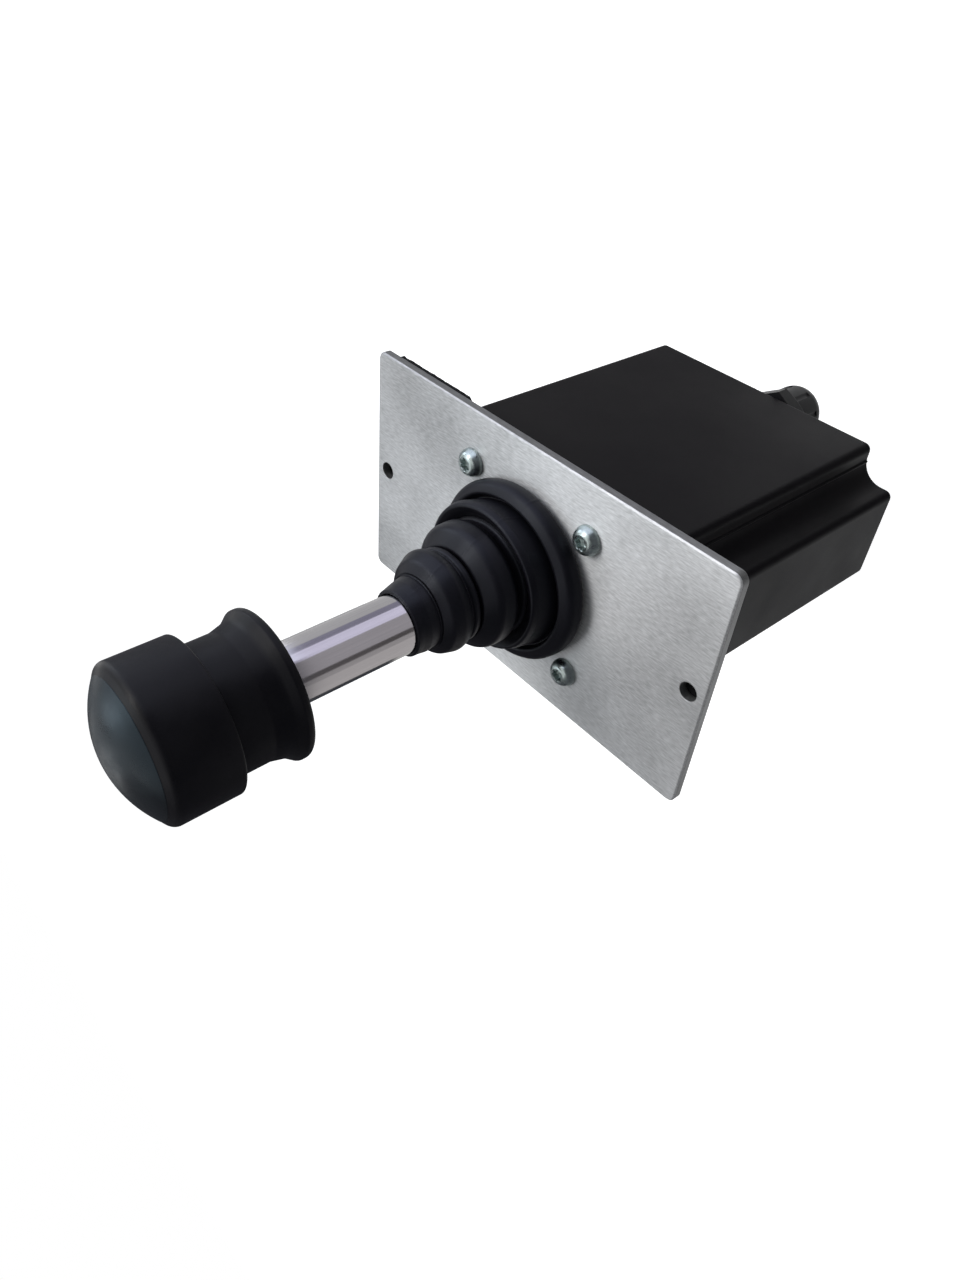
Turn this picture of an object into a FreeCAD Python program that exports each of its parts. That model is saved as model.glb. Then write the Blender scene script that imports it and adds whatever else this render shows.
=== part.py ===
import FreeCAD, Part
import math
import os

# Single-axis industrial joystick for panel mounting. Millimetres.
# X runs along the long side of the mounting plate, Y along its short side, +Z along the lever.
# The origin is the centre of the plate's rear face, which the panel gasket seals on.

# Mounting plate and the two holes that fasten it to a panel
PLATE_LENGTH = 130.0
PLATE_WIDTH = 74.0
PLATE_THICKNESS = 2.5
PLATE_CORNER = 2.5
PLATE_EDGE_BREAK = 0.35
MOUNT_EDGE = 5.0
MOUNT_HOLE = 5.2
LEVER_OPENING = 43.0

# Panel gasket, cut a little smaller than the plate, with one strip that peeps out
GASKET_THICKNESS = 1.0
GASKET_INSET = 0.8
GASKET_END_GAP = 3.0
GASKET_SIDE_GAP = 1.0
GASKET_TAB_LENGTH = 31.0
GASKET_TAB_CENTRE = -43.5
GASKET_TAB_PROUD = 0.3

# Four pan head screws with a six-lobe recess, and the nuts that they draw up
SCREW_SQUARE = 44.0
SCREW_SIZE = 4.0
SCREW_HEAD = 8.0
SCREW_HEAD_HEIGHT = 3.1
SCREW_PROUD = 1.0
NUT_SIZE = 7.2
NUT_HEIGHT = 3.0

# Lever: pivot, tube and the rod inside it
PIVOT_DEPTH = 24.0
LEVER_SWING = 22.0
TUBE_SIZE = 16.0
TUBE_WALL = 2.0
TUBE_LENGTH = 122.2
TUBE_END_DEPTH = 16.0
ROD_SIZE = 5.0
LOCK_PIN_SIZE = 6.0
LOCK_PIN_LENGTH = 16.5
LOCK_PIN_CHAMFER = 1.0

# Knob cap over the lever tip
KNOB_SIZE = 38.8
KNOB_SHOULDER = 14.5
KNOB_HEIGHT = 22.8
KNOB_DOME_RADIUS = 28.6
KNOB_EDGE_RADIUS = 2.2
KNOB_RIM_BREAK = 0.8
KNOB_WALL = 2.9
KNOB_SOCKET_DEPTH = 8.8
INSERT_SIZE = 13.0
STUD_SIZE = 8.0
STUD_LENGTH = 8.0

# Release collar, a spool that the fingers pull up against the cap
COLLAR_FLANGE = 37.8
COLLAR_NECK = 32.0
COLLAR_LENGTH = 19.0
COLLAR_FLARE = 8.2
COLLAR_RIM = 2.2
COLLAR_RIM_BREAK = 0.6
COLLAR_TRAVEL = 6.0
COLLAR_BELOW_CAP = 17.5
CROSS_PIN_SIZE = 4.0
CROSS_PIN_HEIGHT = 10.0
SPRING_POCKET = 5.0
COLLAR_SPRING_WIRE = 1.2
COLLAR_SPRING_SIZE = 22.0
COLLAR_SPRING_TURNS = 3.5

# Bellows: each fold is (crest radius, its lower and upper height, crease radius, crease height)
BOOT_FOOT = 24.0
BOOT_FOLDS = [
    (25.4, 1.6, 4.8, 19.6, 6.4),
    (21.2, 10.6, 12.6, 15.4, 13.2),
    (17.0, 16.2, 19.6, 10.9, 23.4),
    (13.4, 27.0, 31.0, 9.9, 34.6),
]
BOOT_WALL = 1.8
BOOT_CREASE_DROP = 0.9
BOOT_SHOULDER_IN = 0.35
BOOT_SHOULDER_UP = 0.75
BOOT_CUFF = 9.8
BOOT_CUFF_EDGE = 8.8
BOOT_CUFF_TAPER = 3.0
BOOT_CUFF_TOP = 41.5
BOOT_LIP = 24.0
BOOT_LIP_THICKNESS = 1.5

# Lever block, the casting that carries the tube and turns on its own trunnions
BLOCK_SOCKET = 21.0
BLOCK_TOP_DEPTH = 3.0
BLOCK_FLOOR = 2.0
BLOCK_WIDTH = 11.6
BLOCK_DISC = 21.0
TRUNNION_SIZE = 7.0

# Frame: two sheet brackets, spacer bars and the rear bracket
FRAME_INNER = 24.4
SHEET = 2.0
CHEEK_TOP_WIDTH = 60.0
CHEEK_FOOT_WIDTH = 52.0
CHEEK_DEPTH = 87.0
CHEEK_WAIST_DEPTH = 20.0
EAR_REACH = 27.5
EAR_INNER = 16.5
BEND_RADIUS = 2.5
BAR_SIZE = 5.0
BAR_RIVET = 3.6
SPACER_OFFSET = 22.0
SPACER_DEPTH = 66.0
RIVET_PROUD = 0.4
BUSH_WALL = 1.5
BUSH_FLANGE = 1.0
CIRCLIP_THICKNESS = 0.8
CIRCLIP_MOUTH = 3.2

# Neutral lock gate and the stop bar, as radii round the pivot
GATE_INNER_RADIUS = 15.0
GATE_OUTER_RADIUS = 20.0
GATE_HALF_ANGLE = 28.0
GATE_HALF_WIDTH = 4.0
GATE_NOTCH_DEPTH = 3.2
STOP_BAR_RADIUS = 24.0
SLOT_WIDTH = 6.0

# Centring torsion spring round the trunnion
TORSION_WIRE = 1.1
TORSION_SIZE = 9.5
TORSION_TURNS = 2.5
TORSION_PITCH = 1.25
LUG_INNER_RADIUS = 6.8
LUG_OUTER_RADIUS = 9.3
LUG_GAP = 0.5

# Gear sector on the lever and pinion on the sensor shaft
MODULE = 1.0
SECTOR_TEETH = 80
PINION_TEETH = 20
SECTOR_TOOTH_REACH = 6
SECTOR_HALF_ANGLE = 36.0
SECTOR_THICKNESS = 3.0
PINION_WIDTH = 5.0
PRESSURE_ANGLE = 20.0
BACKLASH = 0.12

# Rotary sensor
SENSOR_SIZE = 22.0
SENSOR_DEPTH = 10.5
SENSOR_SHAFT = 6.0
SENSOR_BUSHING = 9.0
SENSOR_NUT = 13.0

# Rear bracket, circuit board and terminal block
BRACKET_WEB_DEPTH = 89.0
BRACKET_SHEET = 1.6
BRACKET_LENGTH = 50.0
BRACKET_TAB_INNER = 12.5
BRACKET_TAB_OUTER = 20.0
BRACKET_TAB_HEIGHT = 10.0
BOARD_LENGTH = 30.0
BOARD_WIDTH = 21.0
BOARD_THICKNESS = 1.6
CHIP_LENGTH = 10.0
CHIP_WIDTH = 6.0
CHIP_HEIGHT = 1.6
STANDOFF_HEIGHT = 4.0
STANDOFF_SIZE = 4.5
TERMINAL_HEIGHT = 6.0
TERMINAL_WAYS = 5
TERMINAL_PITCH = 3.5

# Housing cover
COVER_HALF_LENGTH = 47.0
COVER_TOP = 21.5
COVER_BOTTOM = 19.3
COVER_DEPTH = 105.0
COVER_WALL = 2.0
COVER_REAR_WALL = 3.0
COVER_LEDGE_TOP = 10.8
COVER_STEP = 35.8
COVER_STEP_CURVE = 7.0
COVER_CORNER = 2.2
COVER_REAR_EDGE = 1.2
COVER_BEAD = 0.9
COVER_BEAD_ANGLE = 12.0
COVER_POST = 6.5
COVER_POST_SPACING = 42.0
COVER_POST_OFFSET = -5.0
SMALL_SCREW = 3.0
SMALL_HEAD = 5.5
SMALL_HEAD_HEIGHT = 1.8
SMALL_BITE = 4.5
COVER_SCREW_BITE = 5.0

# Cable gland on the rear wall
GLAND_OFFSET = 12.0
GLAND_HEX = 19.0
GLAND_HEX_HEIGHT = 5.0
GLAND_THREAD = 12.0
GLAND_BOSS = 15.0
GLAND_BOSS_HEIGHT = 2.5
GLAND_BORE = 8.0
GLAND_COLLET = 13.0
GLAND_COLLET_HEIGHT = 7.0
GLAND_NUT = 17.6
GLAND_NUT_HEIGHT = 13.0
GLAND_FLUTES = 8
GLAND_SEAL_RING = 1.0

# Clearances
FIT = 0.02
RUN = 0.05
SOFT = 0.3
FREE = 0.5

# Heights and depths that follow from the sizes above
MOUNT_SPACING = PLATE_LENGTH - 2 * MOUNT_EDGE
PIVOT_Z = -PIVOT_DEPTH
TUBE_BOTTOM = -TUBE_END_DEPTH
TUBE_TOP = TUBE_BOTTOM + TUBE_LENGTH
KNOB_CEILING = TUBE_TOP + FIT
KNOB_RIM = KNOB_CEILING - KNOB_SOCKET_DEPTH
COLLAR_BOTTOM = KNOB_RIM - COLLAR_BELOW_CAP
COLLAR_TOP = COLLAR_BOTTOM + COLLAR_LENGTH
CROSS_PIN_Z = COLLAR_BOTTOM + CROSS_PIN_HEIGHT
LOCK_TIP_RADIUS = GATE_INNER_RADIUS - FREE
CHEEK_INSIDE = FRAME_INNER / 2
CHEEK_OUTSIDE = CHEEK_INSIDE + SHEET
BLOCK_HALF = BLOCK_WIDTH / 2
SECTOR_OUTSIDE = -BLOCK_HALF - SECTOR_THICKNESS
SECTOR_HUB = PIVOT_DEPTH - TUBE_END_DEPTH - BLOCK_FLOOR - SOFT
SENSOR_Z = PIVOT_Z - MODULE * (SECTOR_TEETH + PINION_TEETH) / 2
BUSH_RADIUS = TRUNNION_SIZE / 2 + BUSH_WALL
CLIP_SEAT = CHEEK_OUTSIDE + 0.2
TRUNNION_END = CLIP_SEAT + CIRCLIP_THICKNESS + 1.0
WEB_TOP = -BRACKET_WEB_DEPTH + BRACKET_SHEET
WEB_BOTTOM = -BRACKET_WEB_DEPTH
BOARD_TOP = WEB_BOTTOM - STANDOFF_HEIGHT
BOARD_BOTTOM = BOARD_TOP - BOARD_THICKNESS
COVER_REAR = -COVER_DEPTH
COVER_FLOOR = COVER_REAR + COVER_REAR_WALL
GLAND_HEX_TOP = COVER_REAR - GLAND_SEAL_RING
GLAND_HEX_FOOT = GLAND_HEX_TOP - GLAND_HEX_HEIGHT

X = FreeCAD.Vector(1, 0, 0)
Y = FreeCAD.Vector(0, 1, 0)
Z = FreeCAD.Vector(0, 0, 1)


def point(x, y, z):
    """Vector of a place in the joystick's frame."""
    return FreeCAD.Vector(x, y, z)


def block(x0, x1, y0, y1, z0, z1):
    """Box between two places on each axis."""
    return Part.makeBox(x1 - x0, y1 - y0, z1 - z0, point(x0, y0, z0))


def rod_z(size, z0, z1, x=0.0, y=0.0):
    """Round bar of a given diameter along Z."""
    return Part.makeCylinder(size / 2, z1 - z0, point(x, y, z0), Z)


def rod_y(size, y0, y1, x=0.0, z=0.0):
    """Round bar of a given diameter along Y."""
    return Part.makeCylinder(size / 2, y1 - y0, point(x, y0, z), Y)


def outline(place, start, *steps):
    """Face bounded by straight steps (a, b) and curved steps (a, b of a middle point, then of the end)."""
    edges = []
    here = start
    for step in steps + (start,):
        end = step[-2:]
        if math.dist(here, end) < 1e-6:
            continue
        if len(step) == 2:
            edges.append(Part.makeLine(place(*here), place(*end)))
        else:
            edges.append(Part.Arc(place(*here), place(*step[:2]), place(*end)).toShape())
        here = end
    return Part.Face(Part.Wire(edges))


def turned(start, *steps, x=0.0, y=0.0):
    """Solid of revolution round Z from a half section in radius and height."""
    face = outline(lambda radius, z: point(x + radius, y, z), start, *steps)
    return face.revolve(point(x, y, 0), Z, 360)


def extruded_y(y0, y1, start, *steps):
    """Plate between y0 and y1 with an outline in x and z."""
    return outline(lambda x, z: point(x, y0, z), start, *steps).extrude(Y * (y1 - y0))


def extruded_z(z0, z1, start, *steps):
    """Plate between z0 and z1 with an outline in x and y."""
    return outline(lambda x, y: point(x, y, z0), start, *steps).extrude(Z * (z1 - z0))


def hexagon_z(across_flats, z0, z1, x=0.0, y=0.0):
    """Hexagonal bar along Z with one corner towards +Y."""
    corner = across_flats / math.sqrt(3)
    spots = [math.radians(30 + 60 * step) for step in range(6)]
    ring = [(x + corner * math.cos(a), y + corner * math.sin(a)) for a in spots]
    return extruded_z(z0, z1, ring[0], *ring[1:])


def rounded_slab(length, width, corner, z0, z1):
    """Rectangular plate with round corners, centred on the origin."""
    slab = block(-length / 2, length / 2, -width / 2, width / 2, z0, z1)
    uprights = [edge for edge in slab.Edges if abs(edge.tangentAt(edge.FirstParameter).z) > 0.9]
    return slab.makeFillet(corner, uprights)


def around(radius, degrees):
    """Place on a circle round the pivot, counted from straight down towards +X."""
    angle = math.radians(degrees)
    return radius * math.sin(angle), PIVOT_Z - radius * math.cos(angle)


def arc_band(inner, outer, half_angle, y0, y1):
    """Curved band round the pivot, below it, between two radii."""
    return extruded_y(
        y0, y1,
        around(inner, -half_angle),
        around(inner, 0) + around(inner, half_angle),
        around(outer, half_angle),
        around(outer, 0) + around(outer, -half_angle),
    )


def four_corners(half_x, half_y):
    """The four places at plus and minus two distances."""
    return [(sx * half_x, sy * half_y) for sx in (-1, 1) for sy in (-1, 1)]


def six_lobe_recess(size, z0, z1):
    """Tool for a six-lobe drive recess, centred on Z."""
    spots = []
    for step in range(12):
        reach = size / 2 if step % 2 == 0 else 0.36 * size
        angle = math.radians(30 * step)
        spots.append((reach * math.cos(angle), reach * math.sin(angle)))
    return extruded_z(z0, z1, spots[0], *spots[1:])


def pan_head_screw(size, head, height, length):
    """Screw along Z with its head's underside at z = 0 and its shank below."""
    crown = turned(
        (0, 0), (head / 2, 0), (head / 2, 0.35 * height),
        (0.4 * head, 0.78 * height), (0.25 * head, height), (0, height),
    )
    recess = six_lobe_recess(0.49 * head, 0.42 * height, height + 1)
    shank = rod_z(size - 2 * FIT, -length, 0)
    return crown.cut(recess).fuse(shank)


def socket_screw(size, head, height, length):
    """Cheese head screw along Z with a hexagon socket, its head's underside at z = 0."""
    crown = rod_z(head, 0, height).cut(hexagon_z(head / 2, 0.4 * height, height + 1))
    return crown.fuse(rod_z(size - 2 * FIT, -length, 0))


def moved(shape, x, y, z):
    """Copy of a shape shifted in the frame."""
    copy = shape.copy()
    copy.translate(point(x, y, z))
    return copy


def turned_to(shape, direction, x, y, z):
    """Copy of a piece built along +Z, laid along another direction and shifted."""
    copy = shape.copy()
    copy.Placement = FreeCAD.Placement(point(x, y, z), FreeCAD.Rotation(Z, direction))
    return copy


def coil(wire, mean_size, pitch, turns):
    """Square wire wound round Z, starting at +X and z = 0."""
    path = Part.makeHelix(pitch, pitch * turns, mean_size / 2)
    near, far, half = mean_size / 2 - wire / 2, mean_size / 2 + wire / 2, wire / 2
    lead = outline(lambda x, z: point(x, 0, z), (near, -half), (far, -half), (far, half), (near, half))
    return Part.Wire(path).makePipeShell([lead.OuterWire], True, True)


# Mounting plate, gasket, screws and bellows

def mounting_plate():
    """Aluminium plate with the lever opening, the mounting holes and the screw holes."""
    plate = rounded_slab(PLATE_LENGTH, PLATE_WIDTH, PLATE_CORNER, 0, PLATE_THICKNESS)
    rim = [edge for edge in plate.Edges if edge.BoundBox.ZMin > PLATE_THICKNESS - 1e-6]
    plate = plate.makeChamfer(PLATE_EDGE_BREAK, rim)
    plate = plate.cut(rod_z(LEVER_OPENING, -1, PLATE_THICKNESS + 1))
    for side in (-1, 1):
        plate = plate.cut(rod_z(MOUNT_HOLE, -1, PLATE_THICKNESS + 1, side * MOUNT_SPACING / 2))
    for x, y in four_corners(SCREW_SQUARE / 2, SCREW_SQUARE / 2):
        plate = plate.cut(rod_z(SCREW_SIZE, -1, PLATE_THICKNESS + 1, x, y))
    return plate


def panel_gasket():
    """Flat rubber gasket behind the plate, with a window for the frame and cover."""
    length = PLATE_LENGTH - 2 * GASKET_INSET
    width = PLATE_WIDTH - 2 * GASKET_INSET
    gasket = rounded_slab(length, width, PLATE_CORNER - GASKET_INSET, -GASKET_THICKNESS, 0)
    strip_top = PLATE_WIDTH / 2 + GASKET_TAB_PROUD
    strip_foot = strip_top - 2 * GASKET_TAB_PROUD - 4 * GASKET_INSET
    left = GASKET_TAB_CENTRE - GASKET_TAB_LENGTH / 2
    right = GASKET_TAB_CENTRE + GASKET_TAB_LENGTH / 2
    strip = extruded_z(
        -GASKET_THICKNESS, 0,
        (left, strip_foot), (right + 1, strip_foot),
        (right, strip_top - 0.4, right - 2, strip_top), (left + 1, strip_top),
    )
    gasket = gasket.fuse(strip).removeSplitter()
    window = rounded_slab(2 * (COVER_HALF_LENGTH + GASKET_END_GAP), 2 * (EAR_REACH + GASKET_SIDE_GAP),
                          PLATE_CORNER, -GASKET_THICKNESS - 1, 1)
    gasket = gasket.cut(window)
    for side in (-1, 1):
        gasket = gasket.cut(rod_z(MOUNT_HOLE, -GASKET_THICKNESS - 1, 1, side * MOUNT_SPACING / 2))
    return gasket


def plate_screws():
    """The four screws that hold the frame to the plate."""
    reach = PLATE_THICKNESS + SHEET + NUT_HEIGHT + SCREW_PROUD
    screw = pan_head_screw(SCREW_SIZE, SCREW_HEAD, SCREW_HEAD_HEIGHT, reach)
    spots = four_corners(SCREW_SQUARE / 2, SCREW_SQUARE / 2)
    return Part.makeCompound([moved(screw, x, y, PLATE_THICKNESS) for x, y in spots])


def clinch_nuts():
    """Hexagon nuts under the frame's ears."""
    nut = hexagon_z(NUT_SIZE, -SHEET - NUT_HEIGHT, -SHEET)
    nut = nut.cut(rod_z(SCREW_SIZE, -SHEET - NUT_HEIGHT - 1, 0))
    spots = four_corners(SCREW_SQUARE / 2, SCREW_SQUARE / 2)
    return Part.makeCompound([moved(nut, x, y, 0) for x, y in spots])


def boot():
    """Rubber bellows: foot lips through the plate, four folds and a cuff round the tube."""
    seat = PLATE_THICKNESS
    neck = LEVER_OPENING / 2 - RUN
    bore = TUBE_SIZE / 2 + SOFT
    cuff_top = seat + BOOT_CUFF_TOP
    outside = []
    inside = []
    for crest, low, high, crease, crease_up in BOOT_FOLDS:
        shoulder = crest - BOOT_SHOULDER_IN * (crest - crease)
        shoulder_up = high + BOOT_SHOULDER_UP * (crease_up - high)
        outside.append((crest, seat + low))
        outside.append((crest, seat + high))
        outside.append((shoulder, seat + shoulder_up))
        outside.append((crease, seat + crease_up))
        inside.append((crest - BOOT_WALL, seat + (low + high) / 2))
        inside.append((max(crease - BOOT_WALL, bore), seat + crease_up - BOOT_CREASE_DROP))
    steps = outside + [
        (BOOT_CUFF, cuff_top - BOOT_CUFF_TAPER),
        (BOOT_CUFF_EDGE, cuff_top),
        (bore, cuff_top),
    ]
    steps += inside[::-1]
    steps += [
        (neck - BOOT_WALL, seat),
        (neck - BOOT_WALL, -BOOT_LIP_THICKNESS - RUN),
        (BOOT_LIP, -BOOT_LIP_THICKNESS - RUN),
        (BOOT_LIP, -RUN),
        (neck, -RUN),
        (neck, seat + FIT),
    ]
    return turned((BOOT_FOOT, seat + FIT), *steps)


# Frame that hangs from the plate

def cheek(side):
    """Sheet bracket on one side of the lever: a bent ear at each end and the bores it carries."""
    inside, outside = sorted((side * CHEEK_INSIDE, side * CHEEK_OUTSIDE))
    top, foot = CHEEK_TOP_WIDTH / 2, CHEEK_FOOT_WIDTH / 2
    wall = extruded_y(
        inside, outside,
        (-top, -SHEET), (top, -SHEET), (top, -CHEEK_WAIST_DEPTH), (foot, -2.2 * CHEEK_WAIST_DEPTH),
        (foot, -CHEEK_DEPTH + 4), (foot - 1.2, -CHEEK_DEPTH + 1.2, foot - 4, -CHEEK_DEPTH),
        (-foot + 4, -CHEEK_DEPTH), (-foot + 1.2, -CHEEK_DEPTH + 1.2, -foot, -CHEEK_DEPTH + 4),
        (-foot, -2.2 * CHEEK_WAIST_DEPTH), (-top, -CHEEK_WAIST_DEPTH),
    )
    near, far, bend = CHEEK_INSIDE, CHEEK_OUTSIDE, BEND_RADIUS
    for end in (-1, 1):
        x0, x1 = sorted((end * EAR_INNER, end * top))
        section = outline(
            lambda y, z: point(x0, side * y, z),
            (near, -2 * bend), (near, -bend), (near + 0.29 * bend, -0.29 * bend, near + bend, 0),
            (EAR_REACH, 0), (EAR_REACH, -SHEET), (far + 0.5 * bend, -SHEET), (far, -1.3 * bend),
            (far, -2 * bend),
        )
        wall = wall.fuse(section.extrude(X * (x1 - x0)))
    wall = wall.cut(rod_z(2 * (BOOT_LIP + SOFT), -SHEET, 1))
    for x, y in four_corners(SCREW_SQUARE / 2, SCREW_SQUARE / 2):
        wall = wall.cut(rod_z(SCREW_SIZE, -SHEET - 1, 1, x, y))
    low, high = inside - 1, outside + 1
    wall = wall.cut(rod_y(2 * BUSH_RADIUS, low, high, 0, PIVOT_Z))
    for x, z in bar_places():
        wall = wall.cut(rod_y(BAR_RIVET, low, high, x, z))
    for x, z in bracket_screw_places():
        wall = wall.cut(rod_y(SMALL_SCREW, low, high, x, z))
    if side > 0:
        wall = wall.cut(rod_y(SENSOR_BUSHING, low, high, 0, SENSOR_Z))
        for x, z in gate_screw_places():
            wall = wall.cut(rod_y(SMALL_SCREW, low, high, x, z))
    else:
        wall = wall.cut(rod_y(SENSOR_SHAFT + 2 * BUSH_WALL, low, high, 0, SENSOR_Z))
    return wall.removeSplitter()


def bar_places():
    """Where the spacer bars and the stop bar cross the frame, as x and z."""
    spacers = [(-SPACER_OFFSET, -SPACER_DEPTH), (SPACER_OFFSET, -SPACER_DEPTH)]
    return [around(STOP_BAR_RADIUS, 0)] + spacers


def frame_bar(x, z):
    """Bar between the cheeks with a riveted end in each."""
    bar = rod_y(BAR_SIZE, -CHEEK_INSIDE, CHEEK_INSIDE, x, z)
    end = CHEEK_OUTSIDE + RIVET_PROUD
    return bar.fuse(rod_y(BAR_RIVET - 2 * FIT, -end, end, x, z))


def spacer_bars():
    """The two bars that keep the cheeks apart towards the rear."""
    return Part.makeCompound([frame_bar(x, z) for x, z in bar_places()[1:]])


def stop_bar():
    """The bar that passes through the sector's slot and ends the lever's swing."""
    return frame_bar(*bar_places()[0])


def flanged_bush(bore, wall, side, z):
    """Bronze bush in a cheek, with its flange on the inside."""
    tube = rod_y(bore + 2 * wall - 2 * FIT, CHEEK_INSIDE, CHEEK_OUTSIDE)
    flange = rod_y(bore + 4 * wall, CHEEK_INSIDE - BUSH_FLANGE, CHEEK_INSIDE)
    bush = tube.fuse(flange).cut(rod_y(bore + 2 * RUN, 0, CHEEK_OUTSIDE + 1))
    if side < 0:
        bush = bush.mirror(point(0, 0, 0), Y)
    return moved(bush, 0, 0, z)


def pivot_bushes():
    """The two bushes that the trunnions turn in."""
    return Part.makeCompound([flanged_bush(TRUNNION_SIZE, BUSH_WALL, side, PIVOT_Z) for side in (-1, 1)])


def gate_screw_places():
    """Where two screws hold the lock gate to the cheek, as x and z."""
    middle = (GATE_INNER_RADIUS + 1.5 + GATE_OUTER_RADIUS) / 2
    return [around(middle, angle) for angle in (-0.6 * GATE_HALF_ANGLE, 0.6 * GATE_HALF_ANGLE)]


def lock_gate():
    """Curved gate below the pivot with the neutral notch for the lock pin."""
    track = arc_band(GATE_INNER_RADIUS, GATE_OUTER_RADIUS, GATE_HALF_ANGLE,
                     -GATE_HALF_WIDTH, GATE_HALF_WIDTH)
    foot = arc_band(GATE_INNER_RADIUS + 1.5, GATE_OUTER_RADIUS, GATE_HALF_ANGLE,
                    GATE_HALF_WIDTH, CHEEK_INSIDE)
    half = LOCK_PIN_SIZE / 2 + RUN
    notch_floor = PIVOT_Z - GATE_INNER_RADIUS - GATE_NOTCH_DEPTH
    notch = block(-half, half, -GATE_HALF_WIDTH - 1, GATE_HALF_WIDTH + 1, notch_floor, PIVOT_Z)
    gate = track.fuse(foot).removeSplitter().cut(notch)
    for x, z in gate_screw_places():
        gate = gate.cut(rod_y(SMALL_SCREW, GATE_HALF_WIDTH + 1, CHEEK_INSIDE + 1, x, z))
    return gate


def small_screw(length):
    """Small screw, as used inside and on the rear of the housing."""
    return socket_screw(SMALL_SCREW, SMALL_HEAD, SMALL_HEAD_HEIGHT, length)


def gate_screws():
    """The two screws through the cheek into the gate."""
    screw = small_screw(SHEET + SMALL_BITE)
    return Part.makeCompound(
        [turned_to(screw, Y, x, CHEEK_OUTSIDE, z) for x, z in gate_screw_places()])


def lug_section(inner, outer, y0, y1):
    """Tongue for the torsion spring's legs: a band round the pivot cut to the width between them."""
    half = TORSION_SIZE / 2 - TORSION_WIRE / 2 - RUN
    band = arc_band(inner, outer, 80, y0, y1)
    return band.common(block(-half, half, y0, y1, PIVOT_Z - 2 * outer, PIVOT_Z))


def spring_anchor():
    """Fixed tongue, riveted to the cheek, that one leg of the torsion spring bears on."""
    inner = LUG_OUTER_RADIUS + LUG_GAP
    return lug_section(inner, inner + LUG_OUTER_RADIUS - LUG_INNER_RADIUS,
                       BLOCK_HALF + LUG_GAP, CHEEK_INSIDE)


def centring_spring():
    """Torsion spring round the trunnion whose two legs point down and straddle both tongues."""
    leg = LUG_OUTER_RADIUS + LUG_GAP + LUG_OUTER_RADIUS - LUG_INNER_RADIUS
    radius = TORSION_SIZE / 2
    start = BLOCK_HALF + TORSION_WIRE / 2 + LUG_GAP
    end = start + TORSION_PITCH * TORSION_TURNS
    spring = coil(TORSION_WIRE, TORSION_SIZE, TORSION_PITCH, TORSION_TURNS)
    spring.rotate(point(0, 0, 0), X, 90)
    spring = moved(spring, 0, end, PIVOT_Z)
    half = TORSION_WIRE / 2
    legs = [block(x - half, x + half, y - half, y + half, PIVOT_Z - leg, PIVOT_Z)
            for x, y in ((radius, end), (-radius, start))]
    return spring.fuse(legs)


# Lever

def lever_tube():
    """Polished tube with the two slots for the cross pin."""
    tube = rod_z(TUBE_SIZE, TUBE_BOTTOM, TUBE_TOP)
    tube = tube.cut(rod_z(TUBE_SIZE - 2 * TUBE_WALL, TUBE_BOTTOM - 1, TUBE_TOP + 1))
    low, high = CROSS_PIN_Z - SOFT, CROSS_PIN_Z + COLLAR_TRAVEL + SOFT
    width = CROSS_PIN_SIZE + 2 * RUN
    slot = block(-width / 2, width / 2, -TUBE_SIZE, TUBE_SIZE, low, high)
    for z in (low, high):
        slot = slot.fuse(rod_y(width, -TUBE_SIZE, TUBE_SIZE, 0, z))
    return tube.cut(slot).cut(rod_y(SMALL_SCREW, -TUBE_SIZE, TUBE_SIZE, 0, tube_pin_z()))


def tube_pin_z():
    """Height of the pins that fix the tube in its block."""
    return -(BLOCK_TOP_DEPTH + TUBE_END_DEPTH) / 2


def lever_block():
    """Casting with the tube socket, the disc round the pivot, two trunnions and the spring tongue."""
    floor = TUBE_BOTTOM - BLOCK_FLOOR
    body = rod_z(BLOCK_SOCKET, floor, -BLOCK_TOP_DEPTH)
    rim = [edge for edge in body.Edges if edge.BoundBox.ZMin > -BLOCK_TOP_DEPTH - 1e-6]
    body = body.makeChamfer(0.8, rim)
    body = body.fuse(rod_y(BLOCK_DISC, -BLOCK_HALF, BLOCK_HALF, 0, PIVOT_Z))
    shank = block(-BLOCK_DISC / 2 + 1, BLOCK_DISC / 2 - 1, -BLOCK_HALF, BLOCK_HALF, PIVOT_Z, floor)
    body = body.fuse(shank)
    body = body.cut(rod_z(TUBE_SIZE + 2 * FIT, TUBE_BOTTOM, 0))
    body = body.cut(rod_z(LOCK_PIN_SIZE + 2 * RUN, PIVOT_Z - BLOCK_DISC, 0))
    for side in (-1, 1):
        y0, y1 = sorted((side * (BLOCK_HALF - 1), side * TRUNNION_END))
        body = body.fuse(rod_y(TRUNNION_SIZE, y0, y1, 0, PIVOT_Z))
        groove = clip_blank(side, TRUNNION_SIZE + 2, CIRCLIP_THICKNESS + 2 * FIT)
        body = body.cut(groove.cut(clip_blank(side, TRUNNION_SIZE - 1, CIRCLIP_THICKNESS + 1)))
    body = body.fuse(lug_section(LUG_INNER_RADIUS, LUG_OUTER_RADIUS, BLOCK_HALF - 0.5,
                                 BLOCK_HALF + 4.6))
    body = body.cut(rod_y(SMALL_SCREW, -TUBE_SIZE, TUBE_SIZE, 0, tube_pin_z()))
    for x, z in sector_screw_places():
        body = body.cut(rod_y(SMALL_SCREW, -BLOCK_HALF - 1, -BLOCK_HALF + 3, x, z))
    return body.removeSplitter()


def clip_blank(side, size, thickness):
    """Disc centred on the circlip's place on one trunnion."""
    middle = side * (CLIP_SEAT + CIRCLIP_THICKNESS / 2)
    return rod_y(size, middle - thickness / 2, middle + thickness / 2, 0, PIVOT_Z)


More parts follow.
